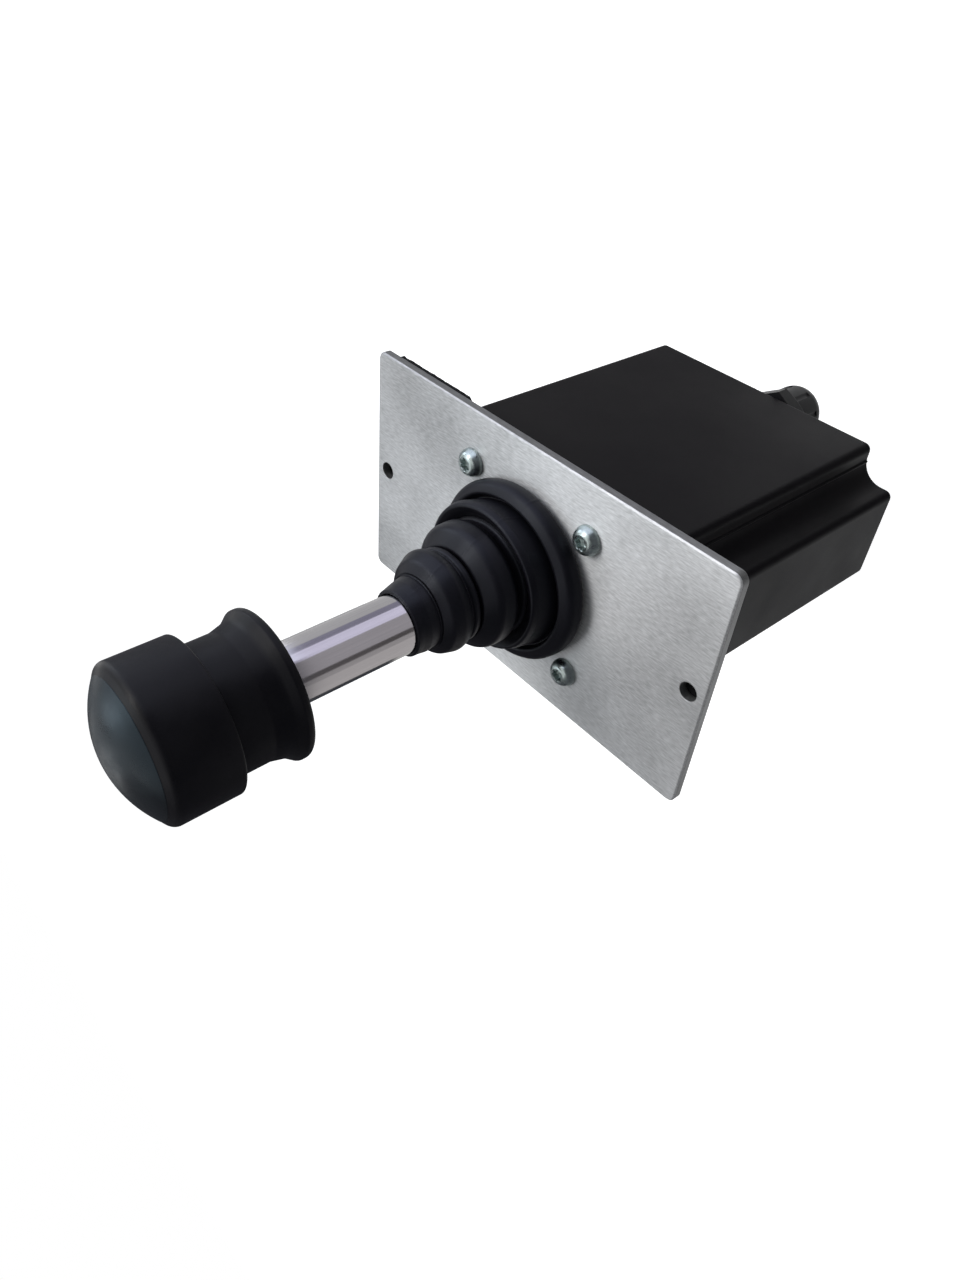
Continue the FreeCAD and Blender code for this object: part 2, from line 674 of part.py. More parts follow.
def pivot_circlips():
    """Circlips outside the cheeks, open towards the rear."""
    clips = []
    for side in (-1, 1):
        clip = clip_blank(side, TRUNNION_SIZE + 3, CIRCLIP_THICKNESS)
        clip = clip.cut(clip_blank(side, TRUNNION_SIZE - 1 + 2 * FIT, CIRCLIP_THICKNESS + 1))
        half, end = CIRCLIP_MOUTH / 2, TRUNNION_END + 1
        clips.append(clip.cut(block(-half, half, -end, end, PIVOT_Z - TRUNNION_SIZE, PIVOT_Z)))
    return Part.makeCompound(clips)


def tube_pins():
    """The two short pins that fix the tube in its block."""
    z = tube_pin_z()
    size = SMALL_SCREW - 2 * FIT
    wall = TUBE_SIZE / 2 - TUBE_WALL
    end = BLOCK_SOCKET / 2 - 0.4
    return Part.makeCompound([rod_y(size, wall, end, 0, z), rod_y(size, -end, -wall, 0, z)])


def tooth_half_angle(radius, teeth):
    """Half the angle of an involute tooth at a radius, in degrees."""
    pitch_radius = MODULE * teeth / 2
    pressure = math.radians(PRESSURE_ANGLE)
    base = pitch_radius * math.cos(pressure)
    here = math.acos(min(1.0, base / radius))
    half = (math.pi * MODULE / 2 - BACKLASH) / 2 / pitch_radius
    spread = (math.tan(pressure) - pressure) - (math.tan(here) - here)
    return math.degrees(half + spread)


def tooth_steps(place, teeth, middle):
    """Steps of one tooth: up the first flank, over the tip and down the second flank."""
    pitch_radius = MODULE * teeth / 2
    root, tip = pitch_radius - 1.25 * MODULE, pitch_radius + MODULE
    base = max(root, pitch_radius * math.cos(math.radians(PRESSURE_ANGLE)))
    half_way = (base + tip) / 2
    low, mid, high = (tooth_half_angle(radius, teeth) for radius in (base, half_way, tip))
    return [
        place(root, middle - low),
        place(base, middle - low),
        place(half_way, middle - mid) + place(tip, middle - high),
        place(tip, middle + high),
        place(half_way, middle + mid) + place(base, middle + low),
        place(root, middle + low),
    ]


def gear_sector():
    """Toothed fan on the lever block with the curved slot for the stop bar."""
    root = MODULE * (SECTOR_TEETH / 2 - 1.25)
    pitch = 360 / SECTOR_TEETH
    last_angle = (SECTOR_HALF_ANGLE + SECTOR_TOOTH_REACH * pitch) / 2
    steps = [around(root, -SECTOR_HALF_ANGLE)]
    for number in range(-SECTOR_TOOTH_REACH, SECTOR_TOOTH_REACH + 1):
        steps += tooth_steps(around, SECTOR_TEETH, number * pitch)
    steps.append(around(root, last_angle) + around(root, SECTOR_HALF_ANGLE))
    steps[1] = around(root, -last_angle) + steps[1]
    steps.append(around(SECTOR_HUB, 75))
    steps.append(around(SECTOR_HUB, 180) + around(SECTOR_HUB, -75))
    fan = extruded_y(SECTOR_OUTSIDE, -BLOCK_HALF, steps[0], *steps[1:])
    bar_angle = math.degrees(math.asin((BAR_SIZE / 2 + SOFT) / STOP_BAR_RADIUS))
    slot = arc_band(STOP_BAR_RADIUS - SLOT_WIDTH / 2, STOP_BAR_RADIUS + SLOT_WIDTH / 2,
                    LEVER_SWING + bar_angle, SECTOR_OUTSIDE - 1, -BLOCK_HALF + 1)
    fan = fan.cut(slot)
    fan = fan.cut(rod_y(TRUNNION_SIZE + 2 * FIT, SECTOR_OUTSIDE - 1, 0, 0, PIVOT_Z))
    for x, z in sector_screw_places():
        fan = fan.cut(rod_y(SMALL_SCREW, SECTOR_OUTSIDE - 1, 0, x, z))
    return fan


def sector_screw_places():
    """Where two screws hold the sector to the block, as x and z."""
    return [around(BLOCK_DISC / 2 - 2.9, angle) for angle in (-48, 48)]


def sector_screws():
    """The two screws of the gear sector."""
    screw = small_screw(SECTOR_THICKNESS + 2.5)
    return Part.makeCompound(
        [turned_to(screw, -Y, x, SECTOR_OUTSIDE, z) for x, z in sector_screw_places()])


def rod_guide():
    """Plastic bush that keeps the lock rod central in the tube."""
    middle = (TUBE_BOTTOM + TUBE_TOP) / 2
    guide = rod_z(TUBE_SIZE - 2 * TUBE_WALL - 2 * FIT, middle - 4, middle + 4)
    return guide.cut(rod_z(ROD_SIZE + 2 * RUN, middle - 5, middle + 5))


def tube_plug():
    """Plug pressed into the tube's tip, with the stud that the knob screws onto."""
    inner = TUBE_SIZE - 2 * TUBE_WALL - 2 * FIT
    return rod_z(inner, TUBE_TOP - 5.5, TUBE_TOP).fuse(rod_z(STUD_SIZE, TUBE_TOP, TUBE_TOP + STUD_LENGTH))


def knob_insert():
    """Threaded brass insert moulded into the knob."""
    top = KNOB_CEILING + STUD_LENGTH + 1
    insert = rod_z(INSERT_SIZE - 2 * FIT, KNOB_CEILING, top)
    waist = rod_z(INSERT_SIZE + 1, KNOB_CEILING + 3, KNOB_CEILING + 5)
    insert = insert.cut(waist.cut(rod_z(INSERT_SIZE - 1.5, KNOB_CEILING + 3, KNOB_CEILING + 5)))
    return insert.cut(rod_z(STUD_SIZE + 2 * FIT, KNOB_CEILING - 1, KNOB_CEILING + STUD_LENGTH + 0.3))


def knob_cap():
    """Domed cap: a round shoulder, a plain skirt and a socket that the collar slides into."""
    outer = KNOB_SIZE / 2
    apex = KNOB_RIM + KNOB_HEIGHT
    edge = KNOB_RIM + KNOB_SHOULDER
    dome_r = outer - KNOB_EDGE_RADIUS
    dome_z = apex - KNOB_DOME_RADIUS + math.sqrt(KNOB_DOME_RADIUS ** 2 - dome_r ** 2)
    half_r = dome_r / 2
    half_z = apex - KNOB_DOME_RADIUS + math.sqrt(KNOB_DOME_RADIUS ** 2 - half_r ** 2)
    bow = 0.36 * KNOB_EDGE_RADIUS
    socket = outer - KNOB_WALL
    cap = turned(
        (0, KNOB_CEILING), (socket, KNOB_CEILING), (socket, KNOB_RIM + 0.5),
        (socket + 0.5, KNOB_RIM), (outer - KNOB_RIM_BREAK, KNOB_RIM),
        (outer, KNOB_RIM + KNOB_RIM_BREAK),
        (outer, edge), (outer - bow, edge + 0.62 * (dome_z - edge), dome_r, dome_z),
        (half_r, half_z, 0, apex),
    )
    return cap.cut(rod_z(INSERT_SIZE, KNOB_CEILING - 1, KNOB_CEILING + STUD_LENGTH + 1 + FIT))


# Release collar and what moves with it

def release_collar():
    """Spool round the tube: finger flange, hollow flare, neck and the pocket for its spring."""
    flange, neck = COLLAR_FLANGE / 2, COLLAR_NECK / 2
    low, high = COLLAR_BOTTOM, COLLAR_TOP
    bore = TUBE_SIZE / 2 + RUN
    flare = low + COLLAR_RIM
    lip = COLLAR_RIM_BREAK
    spool = turned(
        (bore, low + 3), (bore + 1.5, low + 1.6), (flange - 3, low + 0.6), (flange - 2.2, low),
        (flange - lip, low), (flange, low + lip), (flange, flare - lip), (flange - lip, flare),
        (neck + 0.9, low + 0.55 * COLLAR_FLARE, neck, low + COLLAR_FLARE),
        (neck, high - 0.5), (neck - 0.5, high), (bore, high),
    )
    pocket_size = COLLAR_SPRING_SIZE + COLLAR_SPRING_WIRE + 2 * FREE
    inner_size = COLLAR_SPRING_SIZE - COLLAR_SPRING_WIRE - 2 * FREE
    pocket = rod_z(pocket_size, high - SPRING_POCKET, high + 1)
    pocket = pocket.cut(rod_z(inner_size, high - SPRING_POCKET, high + 1))
    reach = neck - 1.2
    return spool.cut(pocket).cut(rod_y(CROSS_PIN_SIZE, -reach, reach, 0, CROSS_PIN_Z))


def collar_spring():
    """Compression spring between the collar's pocket and the knob's ceiling."""
    low = COLLAR_TOP - SPRING_POCKET + COLLAR_SPRING_WIRE / 2 + RUN
    high = KNOB_CEILING - COLLAR_SPRING_WIRE / 2 - RUN
    pitch = (high - low) / COLLAR_SPRING_TURNS
    return moved(coil(COLLAR_SPRING_WIRE, COLLAR_SPRING_SIZE, pitch, COLLAR_SPRING_TURNS), 0, 0, low)


def cross_pin():
    """Pin that joins the collar to the rod through the tube's slots."""
    reach = COLLAR_NECK / 2 - 1.5
    return rod_y(CROSS_PIN_SIZE - 2 * FIT, -reach, reach, 0, CROSS_PIN_Z)


def lock_rod():
    """Rod inside the tube from the cross pin down to the lock pin."""
    foot = PIVOT_Z - LOCK_TIP_RADIUS + LOCK_PIN_LENGTH / 2
    rod = rod_z(ROD_SIZE, foot + FIT, CROSS_PIN_Z + CROSS_PIN_SIZE)
    return rod.cut(rod_y(CROSS_PIN_SIZE, -ROD_SIZE, ROD_SIZE, 0, CROSS_PIN_Z))


def lock_pin():
    """Hardened pin on the rod's lower end, with a chamfered tip."""
    tip = PIVOT_Z - LOCK_TIP_RADIUS
    radius = LOCK_PIN_SIZE / 2
    pin = turned(
        (0, tip), (radius - LOCK_PIN_CHAMFER, tip), (radius, tip + LOCK_PIN_CHAMFER),
        (radius, tip + LOCK_PIN_LENGTH), (0, tip + LOCK_PIN_LENGTH),
    )
    return pin.cut(rod_z(ROD_SIZE + 2 * FIT, tip + LOCK_PIN_LENGTH / 2, tip + LOCK_PIN_LENGTH + 1))


# Rotary sensor

def around_sensor(radius, degrees):
    """Place on a circle round the sensor shaft, counted from straight down towards +X."""
    angle = math.radians(degrees)
    return radius * math.sin(angle), SENSOR_Z - radius * math.cos(angle)


def sensor_pinion():
    """Pinion that the sector turns, with a gap facing the sector's middle tooth."""
    pitch = 360 / PINION_TEETH
    first = 180 + pitch / 2
    steps = []
    for number in range(PINION_TEETH):
        steps += tooth_steps(around_sensor, PINION_TEETH, first + number * pitch)
    centre = -BLOCK_HALF - SECTOR_THICKNESS / 2
    gear = extruded_y(centre - PINION_WIDTH / 2, centre + PINION_WIDTH / 2, steps[0], *steps[1:])
    hub_end = centre + PINION_WIDTH / 2
    gear = gear.fuse(rod_y(1.9 * SENSOR_SHAFT, hub_end, hub_end + 2.5, 0, SENSOR_Z))
    return gear.cut(rod_y(SENSOR_SHAFT, -CHEEK_INSIDE, CHEEK_INSIDE, 0, SENSOR_Z))


def sensor_shaft():
    """Shaft from the bush in one cheek through the pinion into the sensor."""
    end = CHEEK_INSIDE - 2.5
    shaft = rod_y(SENSOR_SHAFT - 2 * FIT, -CHEEK_OUTSIDE - 1.2, end, 0, SENSOR_Z)
    wiper = rod_y(0.55 * SENSOR_SIZE, end - 1.5, end, 0, SENSOR_Z)
    return shaft.fuse(wiper)


def sensor_bush():
    """Flanged bush for the shaft's free end."""
    return flanged_bush(SENSOR_SHAFT, BUSH_WALL, -1, SENSOR_Z)


def sensor_body():
    """Round potentiometer case on the cheek, with its threaded bushing and three terminals."""
    front = CHEEK_INSIDE - SENSOR_DEPTH
    case = rod_y(SENSOR_SIZE, front, CHEEK_INSIDE, 0, SENSOR_Z)
    rim = [edge for edge in case.Edges if edge.BoundBox.YMax < front + 1e-6]
    case = case.makeChamfer(0.8, rim)
    case = case.fuse(rod_y(SENSOR_BUSHING - 2 * FIT, CHEEK_INSIDE, CHEEK_OUTSIDE + 3, 0, SENSOR_Z))
    case = case.cut(rod_y(0.55 * SENSOR_SIZE + 2 * RUN, CHEEK_INSIDE - 4.3, CHEEK_INSIDE - 2.2, 0, SENSOR_Z))
    case = case.cut(rod_y(SENSOR_SHAFT + 2 * RUN, front - 1, CHEEK_INSIDE - 3, 0, SENSOR_Z))
    for step in (-1, 0, 1):
        x = step * 4.0
        case = case.fuse(block(x - 0.8, x + 0.8, front + 3, front + 3.6,
                               SENSOR_Z - SENSOR_SIZE / 2 - 1.2, SENSOR_Z - SENSOR_SIZE / 2 + 2))
    return case


def sensor_nut():
    """Hexagon nut on the sensor's bushing, outside the cheek."""
    nut = hexagon_z(SENSOR_NUT, 0, 2.2).cut(rod_z(SENSOR_BUSHING, -1, 3))
    return turned_to(nut, Y, 0, CHEEK_OUTSIDE, SENSOR_Z)


# Rear bracket, board and cover

def bracket_screw_places():
    """Where the rear bracket's tabs are screwed to the cheeks, as x and z."""
    middle = (BRACKET_TAB_INNER + BRACKET_TAB_OUTER) / 2
    z = WEB_BOTTOM + BRACKET_TAB_HEIGHT - 3.4
    return [(-middle, z), (middle, z)]


def post_places():
    """Where the cover's two posts stand, as x and y."""
    return [(side * COVER_POST_SPACING / 2, COVER_POST_OFFSET) for side in (-1, 1)]


def rear_bracket():
    """Folded bracket that closes the frame and carries the board and the cover posts."""
    half, inside = BRACKET_LENGTH / 2, CHEEK_INSIDE - FIT
    web = block(-half, half, -inside, inside, WEB_BOTTOM, WEB_TOP)
    for side in (-1, 1):
        for end in (-1, 1):
            x0, x1 = sorted((end * BRACKET_TAB_INNER, end * BRACKET_TAB_OUTER))
            y0, y1 = sorted((side * (inside - BRACKET_SHEET), side * inside))
            web = web.fuse(block(x0, x1, y0, y1, WEB_BOTTOM, WEB_BOTTOM + BRACKET_TAB_HEIGHT))
    for x, z in bracket_screw_places():
        web = web.cut(rod_y(SMALL_SCREW, -CHEEK_OUTSIDE, CHEEK_OUTSIDE, x, z))
    for x, y in post_places():
        web = web.cut(rod_z(SMALL_SCREW, WEB_BOTTOM - 1, WEB_TOP + 1, x, y))
    return web.removeSplitter()


def bracket_screws():
    """The four screws through the cheeks into the bracket's tabs."""
    screw = small_screw(SHEET + BRACKET_SHEET + 1)
    screws = []
    for side in (-1, 1):
        screws += [turned_to(screw, Y * side, x, side * CHEEK_OUTSIDE, z) for x, z in bracket_screw_places()]
    return Part.makeCompound(screws)


def standoff_places():
    """Where the board stands on its four standoffs, as x and y."""
    return four_corners(BOARD_LENGTH / 2 - 3, BOARD_WIDTH / 2 - 3)


def board_standoffs():
    """Hexagonal standoffs, soldered to the board and snapped to the bracket."""
    return Part.makeCompound(
        [hexagon_z(STANDOFF_SIZE, BOARD_TOP, WEB_BOTTOM, x, y) for x, y in standoff_places()])


def circuit_board():
    """Board with the output stage, behind the bracket, and its one chip."""
    board = block(-BOARD_LENGTH / 2, BOARD_LENGTH / 2, -BOARD_WIDTH / 2, BOARD_WIDTH / 2,
                  BOARD_BOTTOM, BOARD_TOP)
    chip_x, chip_y = CHIP_LENGTH / 2, CHIP_WIDTH / 2
    chip = block(-chip_x, chip_x, -chip_y, chip_y, BOARD_TOP, BOARD_TOP + CHIP_HEIGHT)
    return board.fuse(chip)


def terminal_block():
    """Row of screw terminals for the cable's wires."""
    length = TERMINAL_WAYS * TERMINAL_PITCH
    top = BOARD_BOTTOM
    foot = top - TERMINAL_HEIGHT
    row = block(-length / 2, length / 2, -5.5, 1.5, foot, top)
    for way in range(TERMINAL_WAYS):
        x = -length / 2 + (way + 0.5) * TERMINAL_PITCH
        row = row.cut(rod_z(2.2, foot - 1, foot + 3.5, x, -1.0))
        row = row.cut(block(x - 1.1, x + 1.1, -6, -4, foot + 1.2, foot + 3.4))
    return row


def cover_posts():
    """Threaded posts from the bracket to the cover's rear wall."""
    posts = []
    for x, y in post_places():
        post = hexagon_z(COVER_POST, COVER_FLOOR, WEB_BOTTOM, x, y)
        stud = rod_z(SMALL_SCREW - 2 * FIT, WEB_BOTTOM, WEB_TOP + 1.5, x, y)
        posts.append(post.fuse(stud).cut(rod_z(SMALL_SCREW, COVER_FLOOR - 1, COVER_FLOOR + 6, x, y)))
    return Part.makeCompound(posts)


def cover_section(inset, z0, z1):
    """Bar with the cover's stepped outline, drawn in by an inset."""
    side, top, bottom = COVER_HALF_LENGTH - inset, COVER_TOP - inset, -COVER_BOTTOM + inset
    ledge, step = COVER_LEDGE_TOP - inset, COVER_STEP - inset
    curve = COVER_STEP_CURVE + inset
    corner = max(COVER_CORNER - inset, 0.4)
    bow = corner * (1 - math.sqrt(0.5))
    dip = curve * (1 - math.sqrt(0.5))
    return extruded_z(
        z0, z1,
        (side, bottom + corner), (side, ledge - corner),
        (side - bow, ledge - bow, side - corner, ledge),
        (step + curve, ledge), (step + dip, ledge + dip, step, ledge + curve),
        (step, top - corner), (step - bow, top - bow, step - corner, top),
        (-side + corner, top), (-side + bow, top - bow, -side, top - corner),
        (-side, bottom + corner), (-side + bow, bottom + bow, -side + corner, bottom),
        (side - corner, bottom), (side - bow, bottom + bow, side, bottom + corner),
    )


def housing_cover():
    """Moulded cover with one stepped side, open at the plate, with a boss for the gland."""
    shell = cover_section(0, COVER_REAR, -SOFT)
    rear = [edge for edge in shell.Edges if edge.BoundBox.ZMax < COVER_REAR + 1e-6]
    shell = shell.makeFillet(COVER_REAR_EDGE, rear)
    turn = math.radians(COVER_BEAD_ANGLE)
    bead_x = COVER_STEP + COVER_STEP_CURVE * (1 - math.cos(turn))
    bead_y = COVER_LEDGE_TOP + COVER_STEP_CURVE * (1 - math.sin(turn))
    shell = shell.fuse(rod_z(COVER_BEAD, COVER_REAR + COVER_REAR_EDGE, -SOFT, bead_x, bead_y))
    shell = shell.cut(cover_section(COVER_WALL, COVER_FLOOR, 1))
    boss = rod_z(GLAND_BOSS, COVER_FLOOR - 1, COVER_FLOOR + GLAND_BOSS_HEIGHT, 0, GLAND_OFFSET)
    shell = shell.fuse(boss)
    shell = shell.cut(rod_z(GLAND_THREAD, COVER_REAR - 1, 0, 0, GLAND_OFFSET))
    lip_foot = -BOOT_LIP_THICKNESS - RUN - SOFT
    shell = shell.cut(rod_z(2 * (BOOT_LIP + SOFT), lip_foot, 1))
    deep = SHEET + NUT_HEIGHT + SCREW_PROUD + FREE
    for end in (-1, 1):
        x0, x1 = sorted((end * (EAR_INNER - FREE), end * (CHEEK_TOP_WIDTH / 2 + FREE)))
        shell = shell.cut(block(x0, x1, -EAR_REACH, EAR_REACH, -deep, 1))
    for x, y in post_places():
        shell = shell.cut(rod_z(SMALL_SCREW, COVER_REAR - 1, COVER_FLOOR + 1, x, y))
    return shell


def cover_screws():
    """The two screws on the rear wall."""
    screw = small_screw(COVER_REAR_WALL + COVER_SCREW_BITE)
    return Part.makeCompound([turned_to(screw, -Z, x, y, COVER_REAR) for x, y in post_places()])


# Cable gland

def gland_ring():
    """Sealing ring between gland and cover."""
    ring = rod_z(GLAND_HEX - 0.6, GLAND_HEX_TOP, COVER_REAR, 0, GLAND_OFFSET)
    return ring.cut(rod_z(GLAND_THREAD, GLAND_HEX_TOP - 1, 0, 0, GLAND_OFFSET))


def gland_body():
    """Gland body: neck through the cover, hexagon and collet."""
    y = GLAND_OFFSET
    body = hexagon_z(GLAND_HEX, GLAND_HEX_FOOT, GLAND_HEX_TOP, 0, y)
    body = body.common(turned((0, GLAND_HEX_FOOT), (GLAND_HEX / 2, GLAND_HEX_FOOT),
                              (GLAND_HEX * 0.58, GLAND_HEX_FOOT + 0.9),
                              (GLAND_HEX * 0.58, GLAND_HEX_TOP), (0, GLAND_HEX_TOP), x=0.0, y=y))
    neck_top = COVER_FLOOR + GLAND_BOSS_HEIGHT + 1
    body = body.fuse(rod_z(GLAND_THREAD - 2 * FIT, GLAND_HEX_TOP, neck_top, 0, y))
    body = body.fuse(rod_z(GLAND_COLLET, GLAND_HEX_FOOT - GLAND_COLLET_HEIGHT, GLAND_HEX_FOOT, 0, y))
    body = body.cut(rod_z(GLAND_BORE, GLAND_HEX_FOOT - 20, neck_top + 1, 0, y))
    recess = rod_z(GLAND_BORE + 2.4, GLAND_HEX_FOOT - 20, GLAND_HEX_FOOT, 0, y)
    return body.cut(recess)


def gland_seal():
    """Rubber insert that grips the cable."""
    top = GLAND_HEX_FOOT - FIT
    foot = GLAND_HEX_FOOT - GLAND_COLLET_HEIGHT - 1.5
    seal = rod_z(GLAND_BORE + 2.4 - 2 * FIT, foot, top, 0, GLAND_OFFSET)
    return seal.cut(rod_z(GLAND_BORE - 1.0, foot - 1, top + 1, 0, GLAND_OFFSET))


def gland_nut():
    """Domed nut of the gland with gripping flutes."""
    top = GLAND_HEX_FOOT - FIT
    foot = top - GLAND_NUT_HEIGHT
    outer, mouth = GLAND_NUT / 2, GLAND_BORE / 2 + 0.8
    collet = GLAND_COLLET / 2 + FIT
    y = GLAND_OFFSET
    roof = foot + 2.6
    nut = turned(
        (collet, top), (outer, top), (outer, foot + 5.0),
        (outer - 1.1, foot + 1.6, outer - 3.6, foot), (mouth, foot), (mouth, roof),
        (collet, roof + 1.2), y=y,
    )
    flute_ring = outer + 0.9
    for step in range(GLAND_FLUTES):
        angle = 2 * math.pi * (step + 0.5) / GLAND_FLUTES
        nut = nut.cut(rod_z(2.6, foot + 5.0, top - 1.0, flute_ring * math.cos(angle),
                            y + flute_ring * math.sin(angle)))
    return nut


NODES = {
    "mounting_plate": mounting_plate,
    "panel_gasket": panel_gasket,
    "plate_screws": plate_screws,
    "clinch_nuts": clinch_nuts,
    "boot": boot,
    "cheek_upper": lambda: cheek(1),
    "cheek_lower": lambda: cheek(-1),
    "spacer_bars": spacer_bars,
    "stop_bar": stop_bar,
    "pivot_bushes": pivot_bushes,
    "lock_gate": lock_gate,
    "gate_screws": gate_screws,
    "spring_anchor": spring_anchor,
    "centring_spring": centring_spring,
    "lever_tube": lever_tube,
    "lever_block": lever_block,
    "pivot_circlips": pivot_circlips,
    "tube_pins": tube_pins,
    "gear_sector": gear_sector,
    "sector_screws": sector_screws,
    "rod_guide": rod_guide,
    "tube_plug": tube_plug,
    "knob_insert": knob_insert,
    "knob_cap": knob_cap,
    "release_collar": release_collar,
    "collar_spring": collar_spring,
    "cross_pin": cross_pin,
    "lock_rod": lock_rod,
    "lock_pin": lock_pin,
    "sensor_pinion": sensor_pinion,
    "sensor_shaft": sensor_shaft,
    "sensor_bush": sensor_bush,
    "sensor_body": sensor_body,
    "sensor_nut": sensor_nut,
    "rear_bracket": rear_bracket,
    "bracket_screws": bracket_screws,
    "board_standoffs": board_standoffs,
    "circuit_board": circuit_board,
    "terminal_block": terminal_block,
    "cover_posts": cover_posts,
    "housing_cover": housing_cover,
    "cover_screws": cover_screws,
    "gland_ring": gland_ring,
    "gland_body": gland_body,
    "gland_seal": gland_seal,
    "gland_nut": gland_nut,
}

os.makedirs("parts", exist_ok=True)
for name, build in NODES.items():
    build().exportStep("parts/" + name + ".step")
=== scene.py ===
"""Looks of a panel-mounted industrial joystick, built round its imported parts.

Blender works in metres, the pieces' own sizes are in millimetres, and +Z runs along the lever.
"""
import logging
import math
from dataclasses import dataclass, field
from enum import Enum

import bpy
from mathutils import Matrix, Vector, noise


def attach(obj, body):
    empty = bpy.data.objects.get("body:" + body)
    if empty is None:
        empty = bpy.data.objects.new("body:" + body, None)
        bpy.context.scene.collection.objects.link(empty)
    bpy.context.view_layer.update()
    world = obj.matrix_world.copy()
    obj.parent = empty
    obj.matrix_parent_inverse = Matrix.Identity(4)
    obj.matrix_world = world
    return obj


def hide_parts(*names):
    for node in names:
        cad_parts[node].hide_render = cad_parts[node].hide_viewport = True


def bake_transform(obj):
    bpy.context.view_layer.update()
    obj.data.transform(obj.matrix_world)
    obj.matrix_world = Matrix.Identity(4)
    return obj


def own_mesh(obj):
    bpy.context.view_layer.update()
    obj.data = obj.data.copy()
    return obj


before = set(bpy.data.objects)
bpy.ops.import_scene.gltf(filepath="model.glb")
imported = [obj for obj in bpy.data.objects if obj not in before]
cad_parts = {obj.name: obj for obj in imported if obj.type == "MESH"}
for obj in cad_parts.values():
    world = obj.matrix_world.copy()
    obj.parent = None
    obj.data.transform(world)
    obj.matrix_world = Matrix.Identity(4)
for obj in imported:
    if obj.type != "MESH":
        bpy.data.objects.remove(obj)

MM = 0.001
LOG = logging.getLogger("joystick")
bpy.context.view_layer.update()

# Noise values over which a finish changes, and slopes over which a sheet's face turns into its edge, where
# painted edge shade sets in.
NOISE_SPAN = (0.32, 0.68)
FACING_SPAN = (0.3, 0.7)
GRAIN_DETAIL = 3.0
PATCH_DETAIL = 5.0
FINE_GLOSS_SHARE = 0.4
CORNER_STEPS = 6
CARD_STEPS = 16

Triple = tuple[float, float, float]
Profile = list[tuple[float, float]]
Loops = list[tuple[int, ...]]


class Grain(Enum):
    """Kinds of fine surface marks, as noise scales per metre along X, Y and Z."""

    BRUSHED = (420.0, 2400.0, 2400.0)
    DRAWN = (1900.0, 1900.0, 14.0)
    CAST = (1400.0, 1400.0, 1400.0)
    MOULDED = (3600.0, 3600.0, 3600.0)
    RUBBER = (2300.0, 2300.0, 2300.0)
    PLATED = (900.0, 900.0, 900.0)
    WOVEN = (1600.0, 1600.0, 1600.0)


